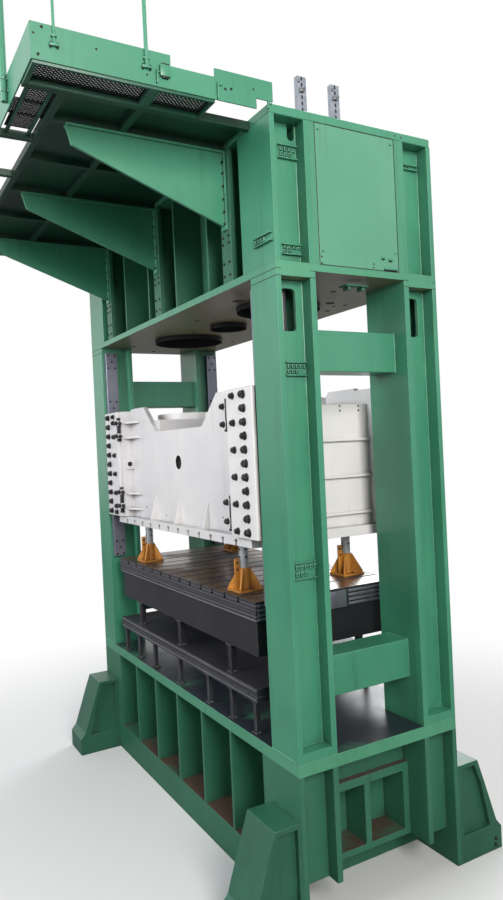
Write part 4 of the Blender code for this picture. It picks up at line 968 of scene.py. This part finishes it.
def addChannelSlots(values):
    shape = bmesh.new()
    bolts = bmesh.new()
    scale = Matrix.Diagonal((values["radius"], values["radius"] * values["stretch"], 0.008, 1.0))
    for name in ("channel_1", "channel_2"):
        low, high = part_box(name)
        middle = (low[1] + high[1]) / 2
        for index in range(values["count"]):
            z = low[2] + values["start"] + values["pitch"] * index
            for x, out in ((high[0], 1), (high[0] - 0.006, -1)):
                stamp(shape, fasteners["plug"], outOf((out, 0, 0), (x, middle, z)) @ scale)
        for side in (-1, 1):
            place = (high[0], middle + side * 0.032, high[2] - 0.050 - 0.058 * (side > 0))
            bolt(bolts, "hex", place, (1, 0, 0), 0.014, side)
        first = (high[0], middle - 0.030, low[2] + 0.200)
        slab(bolts, first, (high[0] + 0.020, middle + 0.020, low[2] + 0.236), 0.004)
    keep(shape, "channelSlots", "holeDark", "frame")
    keep(bolts, "channelBolts", "rodSteel", "frame")


# Bolts on the brackets' palms and on the bars below them
bracketBolts = {
    "x": (-1.847, 0.0, 1.847),
    "palmY": -0.9903,
    "palmZ": [6.690, 6.810, 6.940, 7.070, 7.200, 7.310],
    "barY": -0.970,
    "barZ": [6.178, 6.306, 6.500, 6.570],
    "offset": 0.036,
    "barOffset": 0.060,
    "washer": 0.014,
}


def addBracketBolts(values):
    shape = bmesh.new()
    for x in values["x"]:
        for side in (-1, 1):
            for z in values["palmZ"]:
                place = (x + side * values["offset"], values["palmY"], z)
                bolt(shape, "hex", place, (0, -1, 0), values["washer"], z * 7)
            for z in values["barZ"]:
                place = (x + side * values["barOffset"], values["barY"], z)
                bolt(shape, "hex", place, (0, -1, 0), values["washer"], z * 5)
    keep(shape, "bracketBolts", "boltBlack", "frame")


# Tapped holes and bore linings in near-black as painted shade inside them, and a small bracket under the
# crown
underside = {
    "holes": [
        (0.489, -0.681, 0.026), (-0.281, -0.376, 0.026), (-0.904, 0.538, 0.022), (-1.698, 0.505, 0.034),
        (-2.059, -0.226, 0.034), (1.640, -0.740, 0.070), (1.835, 0.300, 0.050), (1.798, 0.534, 0.026),
        (2.328, -0.020, 0.030), (1.456, 0.532, 0.030), (0.281, 0.376, 0.026), (-0.489, 0.681, 0.026),
        (0.700, -0.560, 0.018), (-1.640, -0.700, 0.040), (1.700, 0.450, 0.018),
    ],
    "bracket": ((2.540, -0.110), (2.670, 0.160)),
    "bores": [(-1.2313, 0.483), (0.0, 0.240), (1.2313, 0.483)],
    "boreDepth": 0.900,
}


def addUnderside(values):
    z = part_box("crown_floor")[0][2]
    shape = bmesh.new()
    for x, y, radius in values["holes"]:
        bolt(shape, "plug", (x, y, z), (0, 0, -1), radius, 0.0, 0.02)
    for x, radius in values["bores"]:
        wall, depth = radius - 0.003, values["boreDepth"]
        outline = [(wall, 0.004), (radius - 0.001, 0.004), (radius - 0.001, depth), (0, depth)]
        outline += [(0, depth - 0.004), (wall, depth - 0.004), (wall, 0.004)]
        lining = turnedMesh("boreLining", [(outline, 64, 0.0)])
        stamp(shape, lining, Matrix.Translation((x, 0.0, z)))
        bpy.data.meshes.remove(lining)
    keep(shape, "undersideHoles", "holeDark", "frame")
    (left, near), (right, far) = values["bracket"]
    bar = bmesh.new()
    level = z + 0.002
    slab(bar, (left, near, level - 0.016), (right, far, level), 0.003)
    for y in (near + 0.050, far - 0.050):
        first = (left + 0.020, y - 0.016, level - 0.052)
        slab(bar, first, (right - 0.020, y + 0.016, level - 0.014), 0.004)
    keep(bar, "undersideBracket", "greenDeep", "frame")


# Carrying plates, sling holes and foot bolts of the safety props; the holes are near-black discs, painted
# shade in them
props = {
    "holeZ": [3.248, 3.332],
    "holeRadius": 0.013,
    "postRadius": 0.052,
    "foot": 0.112,
    "footThick": 0.022,
    "washer": 0.013,
    "blade": (0.060, 0.120),
    "bladeTop": 0.350,
    "bladeHalf": 0.009,
    "bladeHoleY": 0.090,
    "bladeHoleZ": [3.118, 3.188],
    "bladeHole": 0.0135,
}


def addPropDetails(values):
    bolts = bmesh.new()
    darkHoles = bmesh.new()
    blades = bmesh.new()
    inner, outer = values["blade"]
    half = values["bladeHalf"]
    for depth, hand in corners:
        low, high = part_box(cornerName("prop_post", hand, depth))
        x, y = (low[0] + high[0]) / 2, (low[1] + high[1]) / 2
        shape = bmesh.new()
        for z in values["holeZ"]:
            for turn in (0.05, math.pi / 2 + 0.05):
                out = Vector((math.cos(turn), math.sin(turn), 0.0))
                for way in (-1, 1):
                    place = Vector((x, y, z)) + way * out * (values["postRadius"] - 0.0004)
                    bolt(shape, "plug", place, way * out, values["holeRadius"], 0.0, 0.010)
        keep(shape, "postHoles" + handName(hand, depth), "holeDark", cornerName("prop", hand, depth))
        thick = values["footThick"]
        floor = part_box(cornerName("prop_base", hand, depth))[0][2] + thick
        top = floor - thick + values["bladeTop"]
        slab(blades, (x - half, y - outer, floor - 0.002), (x + half, y - inner, top), 0.004)
        for z in values["bladeHoleZ"]:
            for way in (-1, 1):
                place = (x + way * half, y - values["bladeHoleY"], z)
                bolt(darkHoles, "plug", place, (way, 0, 0), values["bladeHole"], 0.0, 0.006)
        for along, across in ((1, 0), (-1, 0), (0, 1)):
            place = (x + along * values["foot"], y + across * values["foot"], floor)
            bolt(bolts, "hex", place, (0, 0, 1), values["washer"], x)
    keep(bolts, "propBolts", "boltBlack", "frame")
    keep(blades, "propBlades", "propOrange", "frame")
    keep(darkHoles, "bladeHoles", "holeDark", "frame")


# Feet and head flanges of the table's posts and of the bolster's spacers
posts = {
    "tableX": [0.0, 0.820, 1.390, 1.900],
    "tableY": 0.900,
    "tableZ": (1.5403, 1.8700),
    "spacerX": [0.0, 1.340],
    "spacerY": 0.860,
    "spacerZ": (2.0133, 2.3230),
    "pad": (0.046, 0.012),
    "spacerPad": (0.054, 0.016),
}


def addPostPads(values):
    pads = bmesh.new()
    bolts = bmesh.new()
    sets = (("tableX", "tableY", "tableZ", "pad"), ("spacerX", "spacerY", "spacerZ", "spacerPad"))
    for stations, setback, levels, pad in sets:
        reach, thick = values[pad]
        low, high = values[levels]
        for x in sorted({sign * x for x in values[stations] for sign in (-1, 1)}):
            for y in (-values[setback], values[setback]):
                shift = -0.004 if y > 0 else 0.004
                for bottom, top in ((low, low + thick), (high - thick, high)):
                    first = (x - reach, y - reach + shift, bottom)
                    slab(pads, first, (x + reach, y + reach + shift, top), 0.002)
                for side in (-1, 1):
                    place = (x + side * (reach - 0.010), y + shift, low + thick)
                    bolt(bolts, "hex", place, (0, 0, 1), 0.009, x)
    keep(pads, "postPads", "tableSteel", "frame")
    keep(bolts, "postBolts", "rodSteel", "frame")


# Machined strips and keys on the ends of the bolster, strips along the lower table
bands = {
    "endX": 2.010,
    "stripZ": [2.704, 2.748, 2.796, 2.842],
    "stripHalf": 0.013,
    "stripY": (0.235, 0.900),
    "key": (-0.060, 0.190, 2.680, 2.862),
    "slit": (0.190, 0.222, 2.668, 2.868),
    "tableZ": [1.895, 1.990],
}


def addBands(values):
    strips = bmesh.new()
    dark = bmesh.new()
    x = values["endX"]
    for hand in (-1, 1):
        for z in values["stripZ"]:
            for low, high in (values["stripY"], (-0.900, values["key"][0] - 0.020)):
                first = (hand * (x - 0.004), low, z - values["stripHalf"])
                slab(strips, first, (hand * (x + 0.007), high, z + values["stripHalf"]), 0.002)
        near, far, bottom, top = values["key"]
        slab(strips, (hand * (x - 0.004), near, bottom), (hand * (x + 0.022), far, top), 0.004)
        # Painted shade: a near-black slab beside each key stands in for the shade in the slit
        near, far, bottom, top = values["slit"]
        slab(dark, (hand * (x - 0.004), near, bottom), (hand * (x + 0.012), far, top), 0.002)
    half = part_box("lower_table")[1]
    for z in values["tableZ"]:
        for depth in (-1, 1):
            first = (-half[0] + 0.004, depth * (half[1] - 0.006), z - 0.008)
            slab(strips, first, (half[0] - 0.004, depth * (half[1] + 0.003), z + 0.008), 0.002)
    keep(strips, "bolsterStrips", "bandSteel", "frame")
    keep(dark, "bolsterSlits", "holeDark", "frame")


# Bolts at the feet and the small peg on the front column
footBolts = {
    "face": 2.763,
    "spots": [(1.480, 0.118), (1.476, 0.056), (-1.480, 0.118), (-1.476, 0.056)],
    "washer": 0.018,
    "peg": (2.292, -0.900, 2.700),
}


def addFootBolts(values):
    shape = bmesh.new()
    for y, z in values["spots"]:
        bolt(shape, "hex", (values["face"], y, z), (1, 0, 0), values["washer"], z)
    keep(shape, "footBolts", "boltBlack", "frame")
    peg = bmesh.new()
    bolt(peg, "hex", values["peg"], (-1, 0, 0), 0.016, 0.3, 0.045)
    keep(peg, "columnPeg", "greenPaint", "frame")


def report(stage):
    print("scene stage:", stage)


addCamera(camera)
addStudio(studio)
report("studio")
dressNodes()
report("materials")
addGuideBolts(guideBolts)
addLugScrews(lugs)
addSlideHoles(slideHoles)
report("slide")
addGibScrews(gibScrews)
addPipeClamps(clamps)
addCoverFittings(cover)
addWelds(welds)
addSeams(seams)
report("frame")
addRailingFittings(railing)
addGratings(grating)
addChannelSlots(channels)
addBracketBolts(bracketBolts)
addUnderside(underside)
report("crown and platform")
addPropDetails(props)
addPostPads(posts)
addBands(bands)
addFootBolts(footBolts)
report("bolster and feet")


bpy.context.scene.view_settings.view_transform = "Standard"
